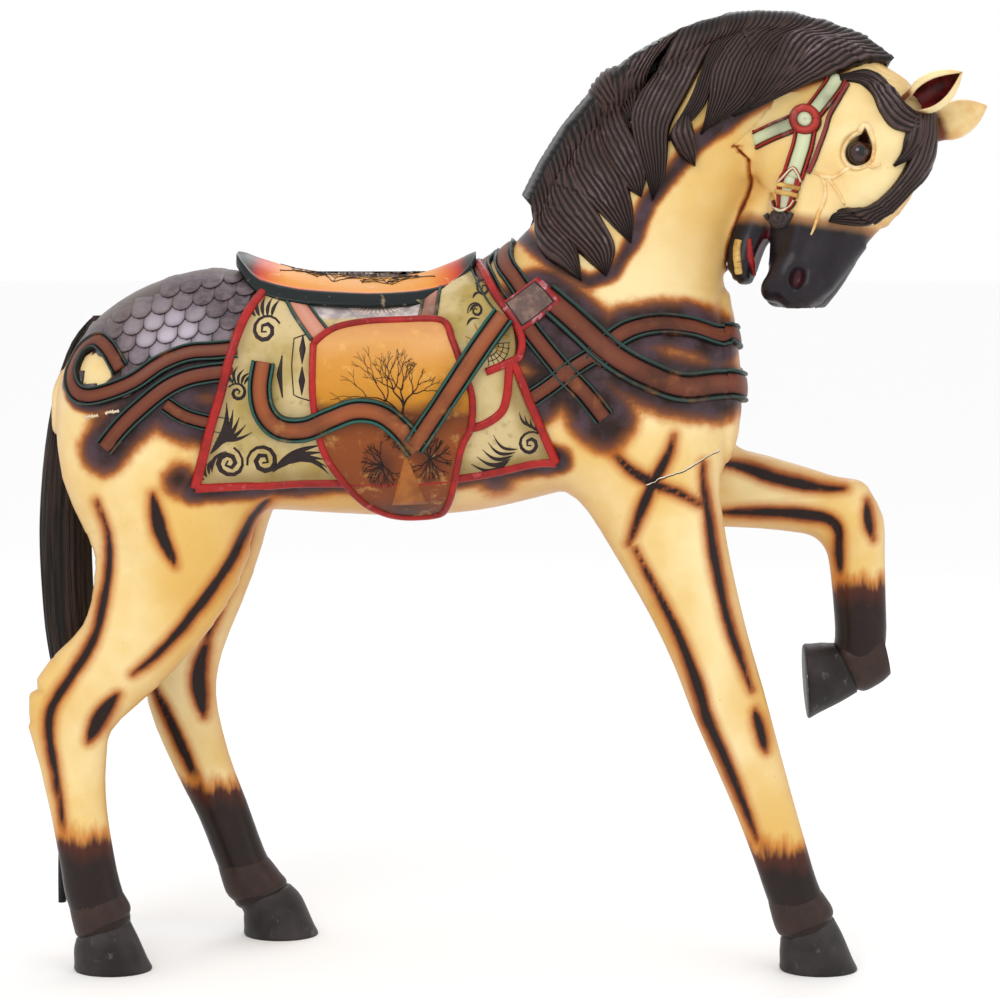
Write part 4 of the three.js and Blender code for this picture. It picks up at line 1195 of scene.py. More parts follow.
def scaleFinish():  # grey scales, a painted shadow round each edge and a painted highlight in the middle where lit
    f = Finish("scalePaint")
    fine, broad = f.noise(70.0, 4.0, 0.65), f.noise(9.0, 3.0)
    color = f.mix(f.step(fine, 0.35, 0.65), "#4a4045", "#6b5d63")
    # painted highlight: pale in the middle of the scales inside the lit patch
    color = f.mix(f.value("middle") * f.step(f.value("lit") + (broad - 0.5), 0.25, 0.9), color, "#b1a8b4")
    # painted shadow round each scale's edge
    color = f.mix(f.step(f.value("middle"), 0.35, 0.0) * 0.9, color, "#1c1416")
    color = f.mix((1 - f.value("lit")) * f.step(broad, 0.4, 0.7) * 0.7, color, "#5c4330")
    return f.varnished(color, 0.32 + 0.2 * fine, 0.2, fine, 0.4)


scalePaint = scaleFinish()
scaleSize = {"along": (26.0, 5.5), "down": (17.5, -14.5), "halfWidth": 14.5, "length": 27.0, "tilt": 3.2,
             "lean": 0.22}
low, top = np.array(scaleRegion["low"]), np.array(scaleRegion["top"])
for side in (-1, 1):
    scales = Parts()
    u, v = np.meshgrid(np.linspace(-1, 1, 11), np.linspace(0, 1, 11), indexing="ij")
    shapeX = u * np.sqrt(np.maximum(1 - np.clip((v - 0.45) / 0.55, 0, 1) ** 2, 0.0)) * scaleSize["halfWidth"]
    shapeZ = (0.5 - v) * scaleSize["length"]
    places = []
    for i in range(-14, 16):
        for j in range(-16, 16):
            x = -430 + i * scaleSize["along"][0] + j * scaleSize["down"][0]
            z = 820 + i * scaleSize["along"][1] + j * scaleSize["down"][1]
            inRegion = np.interp(x, *low.T) - 6 < z < np.interp(x, *top.T) - 4
            inLoop = math.hypot(x + 523, z - 772) < 30
            if -552 < x < -322 and inRegion and not inLoop:
                places.append((x, z))
    places = np.array(sorted(places, key=lambda spot: spot[1]))
    lean = scaleSize["lean"] * (0.5 - shapeZ / scaleSize["length"]) * 8
    flat = np.stack([places[:, 0, None, None] + shapeX - lean,
                     places[:, 1, None, None] + shapeZ + shapeX * 0.12], -1)
    grid, out = laid(sideMaps[side].place(flat), trunkField)
    rise = 1.0 + scaleSize["tilt"] * v + 1.2 * (1 - u**2)
    middle = np.clip((1 - np.abs(u) ** 3) * (1 - v**6) * (0.3 + 0.7 * v) * 1.5, 0, 1)
    for spot, g, n in zip(places, grid, out):
        points, faces = layer(g + n * rise[..., None], g + n * (rise[..., None] - 3.4))
        # a painted pool of light, 1 at (-420, 818) and 0 beyond 110 mm
        lit = np.clip(1 - math.hypot(spot[0] + 420, (spot[1] - 818) * 1.5) / 110, 0, 1)
        scales.add(points, faces, middle=np.tile(middle.ravel(), 2), lit=lit)
    scales.make(sideNames[side] + "Scales", scalePaint)
print("scales", len(places))


# the saddle seat: in x from cantle to pommel a domed top, a rolled rim and a flat underside

seatStations = [  # x, top, bottom, half width
    (-352, 921, 904, 40), (-342, 919, 890, 60), (-320, 911, 868, 84), (-268, 897, 856, 97),
    (-183, 887, 852, 98),
    (-120, 893, 854, 88), (-80, 906, 862, 70), (-56, 917, 884, 52), (-46, 921, 902, 36),
]
seat = {"rimHeight": 12.0, "dome": 1.9, "rimRoll": 3.0}
twigStarts = [((-296, -40), 0.5), ((-230, -72), 1.2), ((-150, -72), 1.9), ((-98, -44), 2.6),
              ((-292, 40), -0.5),
              ((-220, 72), -1.2), ((-170, 72), -1.8)]


def seatFinish():  # gold to red to black by the reach from the middle of the seat
    f = Finish("sunsetSeatPaint")
    fine, broad = f.noise(60.0, 4.0, 0.6), f.noise(14.0, 4.0)
    place = f.value("reach") + (broad - 0.5) * 0.22
    stops = [(0.0, "#d8942c"), (0.38, "#dc8c22"), (0.56, "#cf5a20"), (0.68, "#b4301a"), (0.76, "#5a2a22"),
             (0.84, "#22332f"), (1.0, "#141c1c")]
    color = f.ramp(place, stops)
    color = f.mix(f.step(fine, 0.62, 0.75) * 0.4, color, "#e9c9a0")
    return f.varnished(color, 0.26 + 0.14 * fine, 0.15, fine, 0.3)


def seatRings():
    # z = rim + (top - rim) * (1 - |a|^dome) over the top, then a bulged edge and a flat underside
    rows = smoothRows(seatStations, 8)
    x, topZ, bottomZ, half = [rows[:, i, None] for i in range(4)]
    a = np.linspace(1, -1, 41)[None]
    rimZ = bottomZ + seat["rimHeight"]
    rolled = seat["rimRoll"] * np.exp(-((np.abs(a) - 0.93) / 0.05) ** 2)
    upper = rimZ + (topZ - rimZ) * (1 - np.abs(a) ** seat["dome"]) + rolled - 5 * np.abs(a) ** 30
    edgeDown = np.linspace(0.25, 0.95, 4)[None]
    bulge = 1 + 0.03 * np.sin(np.pi * edgeDown)
    left = np.stack([x + 0 * edgeDown, -half * bulge, rimZ - 5 + (bottomZ - rimZ + 5) * edgeDown], -1)
    under = np.linspace(-0.96, 0.96, 15)[None]
    lower = np.stack([x + 0 * under, half * under, bottomZ - 6 * (1 - under**2)], -1)
    right = np.stack([x + 0 * edgeDown, half * bulge, rimZ - 5 + (bottomZ - rimZ + 5) * edgeDown],
                     -1)[:, ::-1]
    over = np.stack([x + 0 * a, half * a, upper], -1)
    return np.concatenate([over, left, lower, right], 1)


rings = seatRings()
points, faces = tube(rings)
x, y = points[:, 0], points[:, 1]
halfAt = np.interp(x, *np.array(seatStations)[:, [0, 3]].T)
endReach = np.abs((x + 196) / 156)
sideReach = np.abs(y) / np.maximum(halfAt, 1)
reach = np.maximum(0.68 * sideReach**3 + 0.5 * stepUp(sideReach, 0.87, 0.96), endReach**1.8)
under = points[:, 2] < np.interp(x, *np.array(seatStations)[:, [0, 2]].T) + 4
makeMesh("saddleSeat", points, faces, seatFinish(), {"reach": np.where(under, 1.0, reach)})


def seatSurface(flat):  # x and y on the seat to a point on its top
    rows = smoothRows(seatStations, 8)
    topZ, bottomZ, half = [np.interp(flat[..., 0], rows[:, 0], rows[:, i]) for i in (1, 2, 3)]
    rimZ = bottomZ + seat["rimHeight"]
    z = rimZ + (topZ - rimZ) * (1 - np.abs(flat[..., 1] / half) ** seat["dome"])
    return np.stack([flat[..., 0], flat[..., 1], z], -1)


twigs = Parts()
dice = np.random.default_rng(3)
twigStrokes = []
for start, heading in twigStarts:
    growTree(np.array(start, float), heading, 20, 1.3, 4, dice, twigStrokes)
twigStrokes = [(line, widths) for line, widths in twigStrokes
               if np.abs(line[:, 1]).max() < 68 and line[:, 0].min() > -318 and line[:, 0].max() < -78]
columns = len(strokeProfile)
lines = np.stack([resample(np.column_stack([line, widths]), 10) for line, widths in twigStrokes])
heading = unit(np.gradient(lines[..., :2], axis=1))
across = np.stack([-heading[..., 1], heading[..., 0]], -1)
flat = lines[:, :, None, :2] + across[:, :, None] * (strokeProfile[:, 0] * lines[..., 2:] / 2)[..., None]
grid = seatSurface(flat)
for g in grid:
    points, faces = layer(g + (0, 0, 0.9), g - (0, 0, 1.5))
    twigs.add(points, faces)
twigs.make("seatBranches", treeStroke)
print("seat")


# the mane: locks between a left and a right edge, root first, over a fuller neck

crestLine = [(14, 930), (31, 988), (70, 1058), (111, 1111), (159, 1154), (208, 1183), (257, 1202),
             (306, 1210),
             (356, 1208), (406, 1195), (450, 1178), (482, 1152)]
locks = {  # strands, lift, left edge and right edge as x and z
    "nape": (6, 0, [(9, 961), (34, 926), (65, 899), (87, 885)],
             [(31, 1010), (58, 972), (82, 931), (88, 884)]),
    "second": (7, 2, [(24, 1000), (51, 957), (89, 916), (118, 891)],
               [(58, 1056), (82, 1020), (114, 964), (131, 926), (119, 890)]),
    "third": (8, 1, [(50, 1044), (82, 1006), (121, 960), (149, 933)],
              [(99, 1116), (121, 1068), (145, 1012), (154, 969), (151, 932)]),
    "fourth": (6, 3, [(90, 1100), (116, 1052), (142, 1006), (160, 992)],
               [(135, 1150), (143, 1106), (160, 1058), (170, 1020), (164, 990)]),
    "whorl": (7, 0, [(128, 1146), (129, 1120), (140, 1094), (156, 1084)],
              [(196, 1184), (178, 1160), (170, 1134), (158, 1082)]),
    "whorlBack": (6, 1, [(100, 1120), (112, 1098), (130, 1082), (152, 1070)],
                  [(140, 1156), (136, 1128), (144, 1100), (156, 1076)]),
    "great": (9, 6, [(194, 1186), (188, 1163), (184, 1140), (164, 1112), (154, 1086), (158, 1053),
                     (169, 1016), (177, 988)],
              [(252, 1208), (246, 1162), (222, 1118), (201, 1078), (197, 1041), (192, 1012), (178, 986)]),
    "fifth": (7, 4, [(242, 1206), (246, 1160), (226, 1114), (206, 1080), (196, 1062)],
              [(288, 1216), (270, 1166), (252, 1122), (236, 1094), (200, 1060)]),
    "small": (4, 7, [(214, 1092), (201, 1068), (211, 1044), (229, 1030)],
              [(226, 1092), (231, 1066), (232, 1048), (231, 1029)]),
    "sixth": (7, 6, [(278, 1216), (258, 1156), (249, 1114), (244, 1090), (238, 1070)],
              [(332, 1220), (306, 1168), (284, 1124), (262, 1090), (240, 1069)]),
    "seventh": (7, 4, [(322, 1220), (304, 1178), (282, 1136), (262, 1104), (246, 1082)],
                [(368, 1218), (342, 1176), (322, 1142), (298, 1108), (252, 1078)]),
    "poll": (7, 7, [(362, 1219), (346, 1190), (322, 1152), (298, 1116), (276, 1094)],
             [(424, 1206), (394, 1172), (362, 1142), (330, 1116), (280, 1092)]),
    "brow": (7, 9, [(412, 1207), (390, 1186), (352, 1160), (318, 1126), (296, 1106)],
             [(470, 1176), (448, 1158), (410, 1144), (366, 1128), (334, 1116), (300, 1103)]),
}
hair = {"strandHeight": 2.6, "lockThickness": 10.0, "overhang": 34.0}


def hairBase(points):  # the body with a fuller crest along the top of the neck
    cap = limbField(points, [(x, -2, z - 4, 15, 26) for x, z in crestLine], roundness=0.9)
    return softUnion(bodyField(points), cap, 18)


hairMap = SideMap(hairBase, (-20, 860), (560, 1230), 10, -1)
overTheCrest = [(34, -44), (30, -26), (22, -9), (10, -1)]  # y and drop in z, from the far side to the top
crestPath = resample(smoothRows([(x, z + 9) for x, z in crestLine], 8), 200)


def alongCrest(root, ahead=hair["overhang"]):  # a point of the crest a little nearer the head than a root
    nearest = np.argmin(np.hypot(*(crestPath - root).T))
    step = int(ahead / np.linalg.norm(crestPath[1] - crestPath[0]))
    return tuple(crestPath[min(nearest + step, len(crestPath) - 1)])


def smoothAcross(grid, perSpan):  # a grid of points filled in between its columns
    filled = smoothRows(np.swapaxes(grid, 0, 1).reshape(grid.shape[1], -1), perSpan)
    return np.swapaxes(filled.reshape(-1, len(grid), 3), 0, 1)


def lockShell(parts, strands, lift, left, right, overCrest, number, thickness=hair["lockThickness"],
              sideMap=hairMap,
              reach=46):
    # between two edges, left * (1 - u) + right * u, raised by a dome across and by |sin| ridges of hair
    coarse = 9
    if overCrest:
        left, right = [[alongCrest(edge[0])] + edge[1:] for edge in (left, right)]
    edges = [resample(smoothRows(edge, 6), reach) for edge in (left, right)]
    u = np.linspace(0, 1, coarse)[None, :, None]
    flat = edges[0][:, None] * (1 - u) + edges[1][:, None] * u
    grid = sideMap.place(flat)
    if overCrest:
        roots = grid[0]
        over = [np.column_stack([roots[:, 0], np.full(coarse, y), roots[:, 2] + drop]) for y,
                drop in overTheCrest]
        grid = np.concatenate([np.stack(over), grid])
    grid, out = laid(grid, hairBase, 3)
    fine = smoothAcross(grid, strands)
    out = unit(smoothAcross(out, strands))
    c = np.linspace(0, 1, fine.shape[1])[None]
    t = np.linspace(0, 1, len(fine))[:, None]
    phase = c * strands + 0.18 * np.sin(5 * t + number)
    ridge = np.abs(np.sin(np.pi * phase)) ** 0.75
    broad = 0.5 + 0.5 * np.sin(2 * np.pi * c * 1.5 + number)
    span = np.linalg.norm(fine[:, -1] - fine[:, 0], axis=1)[:, None]
    narrow = np.clip(span / (strands * 7.0), 0.12, 1)
    leaving = stepUp(t, 0.1, 0.34) if overCrest else 1 + 0 * t
    combed = stepUp(t, 0.06, 0.2) if overCrest else leaving
    dome = (1 - np.abs(2 * c - 1) ** 4 * leaving) * thickness * narrow ** 0.7 * (0.8 + 0.2 * broad * leaving)
    ridge = ridge * (0.3 + 0.7 * combed)
    height = lift * leaving + dome + ridge * hair["strandHeight"] * (0.35 + 0.65 * narrow)
    points, faces = layer(fine + out * height[..., None], fine - out * 3.0)
    tone = np.tile((0.5 + 0.5 * np.sin(7 * phase + number)).ravel(), 2)
    parts.add(points, faces, ridge=np.tile((ridge * (0.4 + 0.6 * narrow)).ravel(), 2), tone=tone)


def maneFinish():  # painted shade between the strands, brown on them, grey painted highlights on their crests
    f = Finish("carvedManePaint")
    fine, broad = f.noise(70.0, 4.0, 0.65), f.noise(10.0, 3.0)
    ridge = f.value("ridge")
    # painted shade: near black in the grooves between the strands
    color = f.mix(f.step(ridge, 0.25, 0.85), "#070404", f.mix(f.value("tone"), "#35221b", "#43302c"))
    # painted highlight: grey-lilac glints on the strands' crests
    color = f.mix(f.step(ridge + (fine - 0.5) * 0.8, 0.75, 1.2) * f.step(broad, 0.35, 0.75) * 0.8, color,
                  "#8d8089")
    color = f.mix(f.step(fine, 0.6, 0.75) * ridge * 0.4, color, "#7c5f48")
    return f.varnished(color, 0.3 + 0.2 * fine, 0.2, fine, 0.35)


manePaint = maneFinish()
mane = Parts()
for number, (name, (strands, lift, left, right)) in enumerate(locks.items()):
    lockShell(mane, strands, lift, left, right, name not in ("small", "whorlBack"), number * 1.7)
mane.make("carvedMane", manePaint)
print("mane")


# the head: forelock, ears, lids, veins, mouth and bridle

headMap = SideMap(bodyField, (230, 830), (600, 1240), 8, -1)
headMapFar = SideMap(bodyField, (230, 830), (600, 1240), 8, 1)
forelockEdges = [
    (5, 2, [(413, 1143), (443, 1149), (468, 1138), (486, 1119), (498, 1100), (522, 1091)],
     [(415, 1135), (437, 1133), (453, 1119), (462, 1096), (477, 1076), (511, 1068)]),
    (5, 3, [(501, 1093), (492, 1065), (488, 1046), (478, 1031)],
     [(525, 1098), (523, 1065), (509, 1044), (480, 1028)]),
    (6, 5, [(510, 1096), (501, 1065), (498, 1041), (486, 1016), (466, 993), (445, 979), (421, 977),
            (405, 969)],
     [(530, 1093), (534, 1065), (529, 1042), (515, 1016), (497, 995), (475, 972), (448, 957), (424, 955),
      (399, 959)]),
    (3, 3, [(431, 975), (424, 978), (416, 977), (410, 974)],
     [(438, 967), (428, 970), (419, 971), (410, 971)]),
]
forelockPiece = Parts()
for number, (strands, lift, left, right) in enumerate(forelockEdges):
    lockShell(forelockPiece, strands, lift, left, right, False, number * 2.3, 8.0, headMap)
forelockPiece.make("forelock", manePaint)


def earFinish():  # cream outside, dark at the root, deep red inside with a pale rim
    f = Finish("earPaint")
    fine, broad = f.noise(60.0, 4.0, 0.6), f.noise(14.0, 3.0)
    outside = f.mix(f.step(broad, 0.35, 0.7), "#efd9a2", "#cf9440")
    outside = f.mix(f.step(f.value("root") + (fine - 0.5) * 0.3, 0.35, 0.8), outside, "#6b3212")
    inside = f.mix(f.step(fine, 0.4, 0.7), "#4a1210", "#7d2220")
    inside = f.mix(f.step(f.value("rim"), 0.55, 0.95), inside, "#f0d3a4")
    return f.finish(Base_Color=f.mix(f.value("inside"), outside, inside), Roughness=0.35,
                    Coat_Weight=varnish,
                    Coat_Roughness=0.2, Normal=f.bump(fine, 0.3, 0.001))


earPaint = earFinish()
ear = {"root": {1: (14, 100, 30), -1: (24, 119, -30)}, "tip": {1: (-30, 152, 48), -1: (-20, 170, -48)},
       "radius": 23, "thickness": 4.0,
       "shape": [(-0.3, 0.72), (0.0, 0.8), (0.2, 0.98), (0.42, 1.0), (0.65, 0.82), (0.85, 0.46),
                 (1.0, 0.06)]}
facing = np.array([0.12, -0.93, 0.1])
for side in (1, -1):  # 1 is the right ear, whose cup faces out and forward
    ears = Parts()
    base, tip = fromHead(ear["root"][side]), fromHead(ear["tip"][side])
    axis = unit(tip - base)
    opening = unit(facing * (1, side, 1) - axis * (axis @ (facing * (1, side, 1))))
    third = np.cross(axis, opening)
    rows = resample(smoothRows(ear["shape"], 6), 30)
    turn = np.radians(np.linspace(-140, 140, 37))[None]
    t, size = rows[:, 0, None], rows[:, 1, None] * ear["radius"]
    spread = 1 + 0.18 * np.abs(turn / turn.max()) ** 3 * np.sin(np.pi * np.clip(t, 0, 1))

    def cup(radius):  # centre + radius * (sin turn * sideways - cos turn * opening)
        centre = base + (tip - base) * t[..., None] - opening * 2
        around = np.sin(turn)[..., None] * third - np.cos(turn)[..., None] * opening
        return centre + radius[..., None] * around

    outer = cup(size * spread)
    inner = cup(np.maximum(size * spread - ear["thickness"], 0.3))
    points, faces = layer(outer, inner)
    count = t.size * turn.size
    root = np.tile((1 - np.clip(t * 2.6 + 0.2, 0, 1) + 0 * turn).ravel(), 2)
    rim = np.tile((np.abs(turn / turn.max()) ** 5 + 0 * t).ravel(), 2)
    ears.add(points, faces, root=root, rim=rim, inside=np.repeat([0.0, 1.0], count))
    ears.make(("right" if side == 1 else "left") + "Ear", earPaint)

creamPaint = plainPaint("creamCarvingPaint", "#f1ddae", "#d7a256", worn="#a8662a")
lid = [(444, 1082), (438, 1074), (429, 1067), (420, 1056), (417, 1044), (421, 1032), (430, 1027),
       (442, 1029), (453, 1036),
       (457, 1048), (455, 1061), (451, 1072), (444, 1082)]
veins = [
    (6, [(377, 1022), (385, 1020), (395, 1016), (406, 1016), (417, 1023), (428, 1027)]),
    (5, [(428, 1026), (442, 1027), (455, 1029), (462, 1032)]),
    (6, [(389, 1017), (394, 1008), (395, 996), (392, 982), (386, 970), (383, 958), (377, 943)]),
    (5, [(398, 1015), (405, 1005), (412, 994), (418, 981)]),
]
faceCords = Parts()
for sideMap in (headMap, headMapFar):
    laidBand(faceCords, sideMap.place(lid), 7, -0.5, 4.2, cordProfile, bodyField, 2.5)
    for width, route in veins:
        laidBand(faceCords, sideMap.place(route), [2.5, width, width, 2.5], -0.8, 3.2, cordProfile,
                 bodyField, 3.0)
faceCords.make("lidsAndVeins", creamPaint)

bridlePaint = bandFinish("bridlePaint", [
    (0.0, "#c6cda8"), (0.5, "#b9bf98"), (0.6, "#857c50"), (0.64, "#2a1310"), (0.7, "#4a1612"),
    (0.77, "#a32a20"), (0.9, "#8e2018"), (1.0, "#3a0f0c"),
], worn="#e9e4cf", wear=0.4)
thinPaint = bandFinish("thinStrapPaint", [
    (0.0, "#7a2a2c"), (0.5, "#8d3a38"), (0.8, "#3a1416"), (1.0, "#1d0c0c"),
], worn="#c0908c", wear=0.4)
bridleRoutes = [  # side, width, lift, x and z
    (headMap, 27, 0.5, [(412, 1143), (405, 1129), (391, 1110), (375, 1090)]),
    (headMap, 27, 0.0, [(369, 1090), (351, 1081), (332, 1073), (308, 1063)]),
    (headMap, 29, 1.0, [(371, 1074), (367, 1055), (361, 1036), (355, 1016)]),
    (headMapFar, 27, 0.5, [(414, 1144), (405, 1129), (391, 1110), (375, 1090)]),
    (headMapFar, 29, 0.5, [(371, 1074), (361, 1036), (355, 1016)]),
    (headMapFar, 27, 0.5, [(369, 1090), (332, 1073), (308, 1063)]),
]
thinRoute = [(424, 1133), (413, 1114), (401, 1093), (395, 1074), (387, 1053), (380, 1034), (373, 1021)]
bridle, thin = Parts(), Parts()
for sideMap, width, lift, route in bridleRoutes:
    laidBand(bridle, sideMap.place(route), width, lift, 5.0, strapProfile, bodyField)
laidBand(thin, headMap.place(thinRoute), 6.5, 1.0, 4.5, cordProfile, bodyField)
bridle.make("bridle", bridlePaint)
thin.make("thinBridleStrap", thinPaint)


def disc(parts, centre, radius, sideMap, lift, heights, **values):  # a turned boss laid on the wood
    r = np.array([spot for spot, _ in heights])
    turn = np.linspace(0, 2 * np.pi, 41)
    flat = np.stack([centre[0] + radius * r[:, None] * np.cos(turn),
                     centre[1] + radius * r[:, None] * np.sin(turn)], -1)
    grid, out = laid(sideMap.place(flat), bodyField)
    out = unit(out.mean((0, 1)))
    rise = np.array([height for _, height in heights])[:, None, None]
    points, faces = layer(grid + out * (lift + rise), grid - out * 3)
    parts.add(points, faces, across=np.tile(np.repeat(r, len(turn)), 2), **values)


rosettePaint = bandFinish("rosettePaint", [
    (0.0, "#cdd2b4"), (0.4, "#bdc29e"), (0.47, "#3a1410"), (0.53, "#b33a30"), (0.8, "#a83028"),
    (0.94, "#8a2620"),
    (1.0, "#2c0e0c"),
], worn="#d9a39a", wear=0.4)
rosettes = Parts()
rosetteHeights = [(0.02, 6.2), (0.3, 6.0), (0.42, 5.2), (0.47, 3.6), (0.52, 5.0), (0.62, 8.0), (0.76, 8.4),
                  (0.9, 7.0),
                  (0.97, 4.4), (1.0, 0.5)]
for sideMap in (headMap, headMapFar):
    disc(rosettes, (371, 1087), 20, sideMap, 1.5, rosetteHeights)
rosettes.make("rosettes", rosettePaint)

stripes, bits = Parts(), Parts()
goldPaint = plainPaint("goldLeafPaint", "#d8b468", "#9c6a2a", 0.28, worn="#f2e2b0")
for sideMap in (headMap, headMapFar):
    for route in ([(338, 1008), (351, 1005), (364, 1001)], [(336, 999), (348, 996), (362, 992)]):
        laidBand(stripes, sideMap.place(route), 6, 3.5, 4.0, cordProfile, bodyField, 2.5)
stripes.make("cheekPlateStripes", goldPaint)
plateRoute = [(355, 1027), (352, 1013), (348, 996), (345, 975)]
plateRims = [  # height, x and z
    (3.4, [(339, 1010), (347, 1019), (356, 1027), (362, 1019), (366, 1010)]),
    (3.0, [(333, 987), (335, 978), (344, 974), (354, 978), (359, 986)]),
]
plates = Parts()
for sideMap in (headMap, headMapFar):
    laidBand(plates, sideMap.place(plateRoute), [16, 30, 29, 25, 18], 1.0, 4.0, strapProfile, bodyField, 3.0)
    for height, route in plateRims:
        laidBand(plates, sideMap.place(route), 4.5, 4.0, height, cordProfile, bodyField, 2.5)
plates.make("cheekPlates", rosettePaint)
bitPaint = plainPaint("agedIronPaint", "#4a3f40", "#221a1c", 0.35, worn="#8a7f80")
for sideMap in (headMap, headMapFar):
    disc(bits, (340, 964), 12, sideMap, 0.5,
         [(0.02, 4), (0.5, 5), (0.62, 3), (0.72, 6), (0.9, 5), (1.0, 0.5)])
    laidBand(bits, sideMap.place([(323, 969), (329, 961), (340, 953), (350, 961), (354, 971)]), 7, 0, 5.0,
             cordProfile, bodyField, 2.5)
bits.make("bit", bitPaint)

teeth, tongue = Parts(), Parts()
toothPlaces = [(290, 936), (288, 930), (287, 922), (287, 915), (288, 908), (289, 901), (290, 894)]
for a, b in zip(toothPlaces[:-1], toothPlaces[1:]):
    laidBand(teeth, headMap.place([a, b]), 11, 0.0, 3.4, cordProfile, bodyField, 1.5)
teeth.make("teeth", goldPaint)
laidBand(tongue, headMap.place([(303, 937), (303, 922), (304, 908), (308, 892)]), [5, 8, 8, 4], 0.5, 4.0,
         cordProfile, bodyField, 2.5)
tongue.make("tongue", redPaint)


def eyeFinish():  # dark brown glass with a black pupil
    f = Finish("brownEyeGlass")
    glow = f.mix(f.step(f.value("axis"), 0.55, 0.93), "#160604", "#3c130a")
    color = f.mix(f.step(f.value("axis"), 0.9, 0.93), glow, "#050202")
    f.shader.inputs["Specular IOR Level"].default_value = 0.3
    return f.finish(Base_Color=color, Roughness=0.04, Coat_Weight=0.5, Coat_Roughness=0.02)


eyePaint = eyeFinish()
for side in (1, -1):
    centre = fromHead(np.array(head["eye"]) * (1, 1, side))
    gaze = unit(headAxes[2] * side + 0.35 * outForehead)
    sideways = unit(np.cross(gaze, downFace))
    third = np.cross(gaze, sideways)
    tilt = np.linspace(0.03, np.pi - 0.03, 24)[:, None, None]
    turn = np.linspace(0, 2 * np.pi, 40, endpoint=False)[None, :, None]
    ball = np.cos(tilt) * gaze + np.sin(tilt) * (np.cos(turn) * sideways + np.sin(turn) * third)
    points, faces = tube(centre + head["eyeRadius"] * ball)
    name = "right" if side == 1 else "left"
    axis = unit(points - centre) @ gaze
    eyePiece = makeMesh(name + "GlassEye", points, faces, eyePaint, {"axis": axis})
    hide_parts(name + "_glass_eye")
print("head details")


# the hooves, each with the pastern's rounded collar, flat on their soles

hoof = {"halfLength": 49, "halfWidth": 42, "coronetBack": 16, "coronetHeight": 56, "coronetTilt": 0.38}
hoofPlaces = [(396, -95, 0, 0, "rightFore"), (-513, -95, 0, 0, "rightHind"), (-310, 95, 0, 0, "leftHind"),
              (393, 85, 346, 1.5, None)]
hoofLevels = [  # height, size and share of the coronet's slope
    (0.0, 0.995, 0), (0.02, 1.01, 0), (0.06, 1.02, 0), (0.2, 0.965, 0.1), (0.4, 0.91, 0.3),
    (0.6, 0.86, 0.55), (0.8, 0.8, 0.85), (0.92, 0.765, 1), (0.965, 0.75, 1), (1.0, 0.7, 1),
    (1.04, 0.735, 1), (1.12, 0.785, 1), (1.28, 0.79, 0.9), (1.5, 0.755, 0.7), (1.75, 0.7, 0.5),
    (1.95, 0.6, 0.4),
]


def hoofFinish():  # slate below the coronet, brown above, a painted shadow line in the groove between and chips at the sole
    f = Finish("slateHoofPaint")
    fine, broad = f.noise(60.0, 4.0, 0.65), f.noise(12.0, 3.0)
    color = f.mix(f.step(broad, 0.35, 0.7), "#1d1818", "#3b3434")
    color = f.mix(f.step(fine, 0.58, 0.75) * 0.5, color, "#6d666a")
    color = f.mix(f.step(f.value("level") + (fine - 0.5) * 0.03, 0.985, 1.06), color,
                  f.mix(fine, "#1f1614", "#43302a"))
    # painted shadow in the groove at the coronet
    color = f.mix(1 - f.step(abs(f.value("level") - 1.0), 0.0, 0.03), color, "#0c0a0b")
    chips = f.step(f.noise(90.0, 3.0, 0.6) - f.value("level") * 5, 0.64, 0.7)
    color = f.mix(chips, color, "#c9b7a0")
    grain = f.noise(30.0, 3.0, 0.6, (1, 1, 6)) * 0.6 + fine * 0.4
    return f.varnished(color, 0.38 + 0.2 * fine, 0.25, grain, 0.4, 0.0015)


hooves = Parts()
for placeX, placeY, placeZ, pitch, legName in hoofPlaces:
    turn = np.linspace(0, 2 * np.pi, 48, endpoint=False)
    level, size, tilt = [column[:, None] for column in smoothRows(hoofLevels, 2).T]
    lean = hoof["coronetTilt"] * tilt
    ahead, aside = hoof["halfLength"] * size * np.cos(turn), hoof["halfWidth"] * size * np.sin(turn)
    middle = -hoof["coronetBack"] * level
    if legName:
        leg = np.array(legs[legName])[::-1]
        onLeg = np.interp(hoof["coronetHeight"] * level, leg[:, 2], leg[:, 0]) - placeX
        middle = middle + (onLeg - middle) * stepUp(level, 0.7, 1.3)
    x = middle + ahead * np.cos(lean)
    z = np.maximum(hoof["coronetHeight"] * level + ahead * np.sin(lean), 0)
    grid = np.stack([x * math.cos(pitch) + z * math.sin(pitch) + placeX, aside + placeY,
                     z * math.cos(pitch) - x * math.sin(pitch) + placeZ], -1)
    points, faces = tube(grid)
    levels = np.concatenate([level[:1, 0], level[:, 0], level[-1:, 0]])  # with the drawn-in ends of the tube
    hooves.add(points, faces, level=np.repeat(levels, len(turn)))
hooves.make("hooves", hoofFinish())
print("hooves")


# the tail: a combed core and loose strands of hair

tailStations = np.array([  # x, z, half depth, half width
    (-532, 838, 9, 9), (-552, 796, 20, 19), (-571, 703, 28, 26), (-580, 572, 34, 29), (-576, 441, 34, 29),
    (-563, 335, 32, 27), (-563, 229, 28, 23), (-580, 135, 16, 14), (-592, 66, 5, 5),
], float)
tail = {"strands": 150, "thinnest": 0.8, "thickest": 1.7}


def tailFinish():  # black streaks along the hair
    f = Finish("blackHorsehair")
    streak = f.noise(120.0, 3.0, 0.6, (1, 1, 0.06))
    color = f.mix(f.step(streak, 0.35, 0.7), "#0b0807", "#33241d")
    color = f.mix(f.value("tone") * 0.35, color, "#4a382e")
    return f.finish(Base_Color=color, Roughness=0.42, Normal=f.bump(streak, 0.5, 0.002))


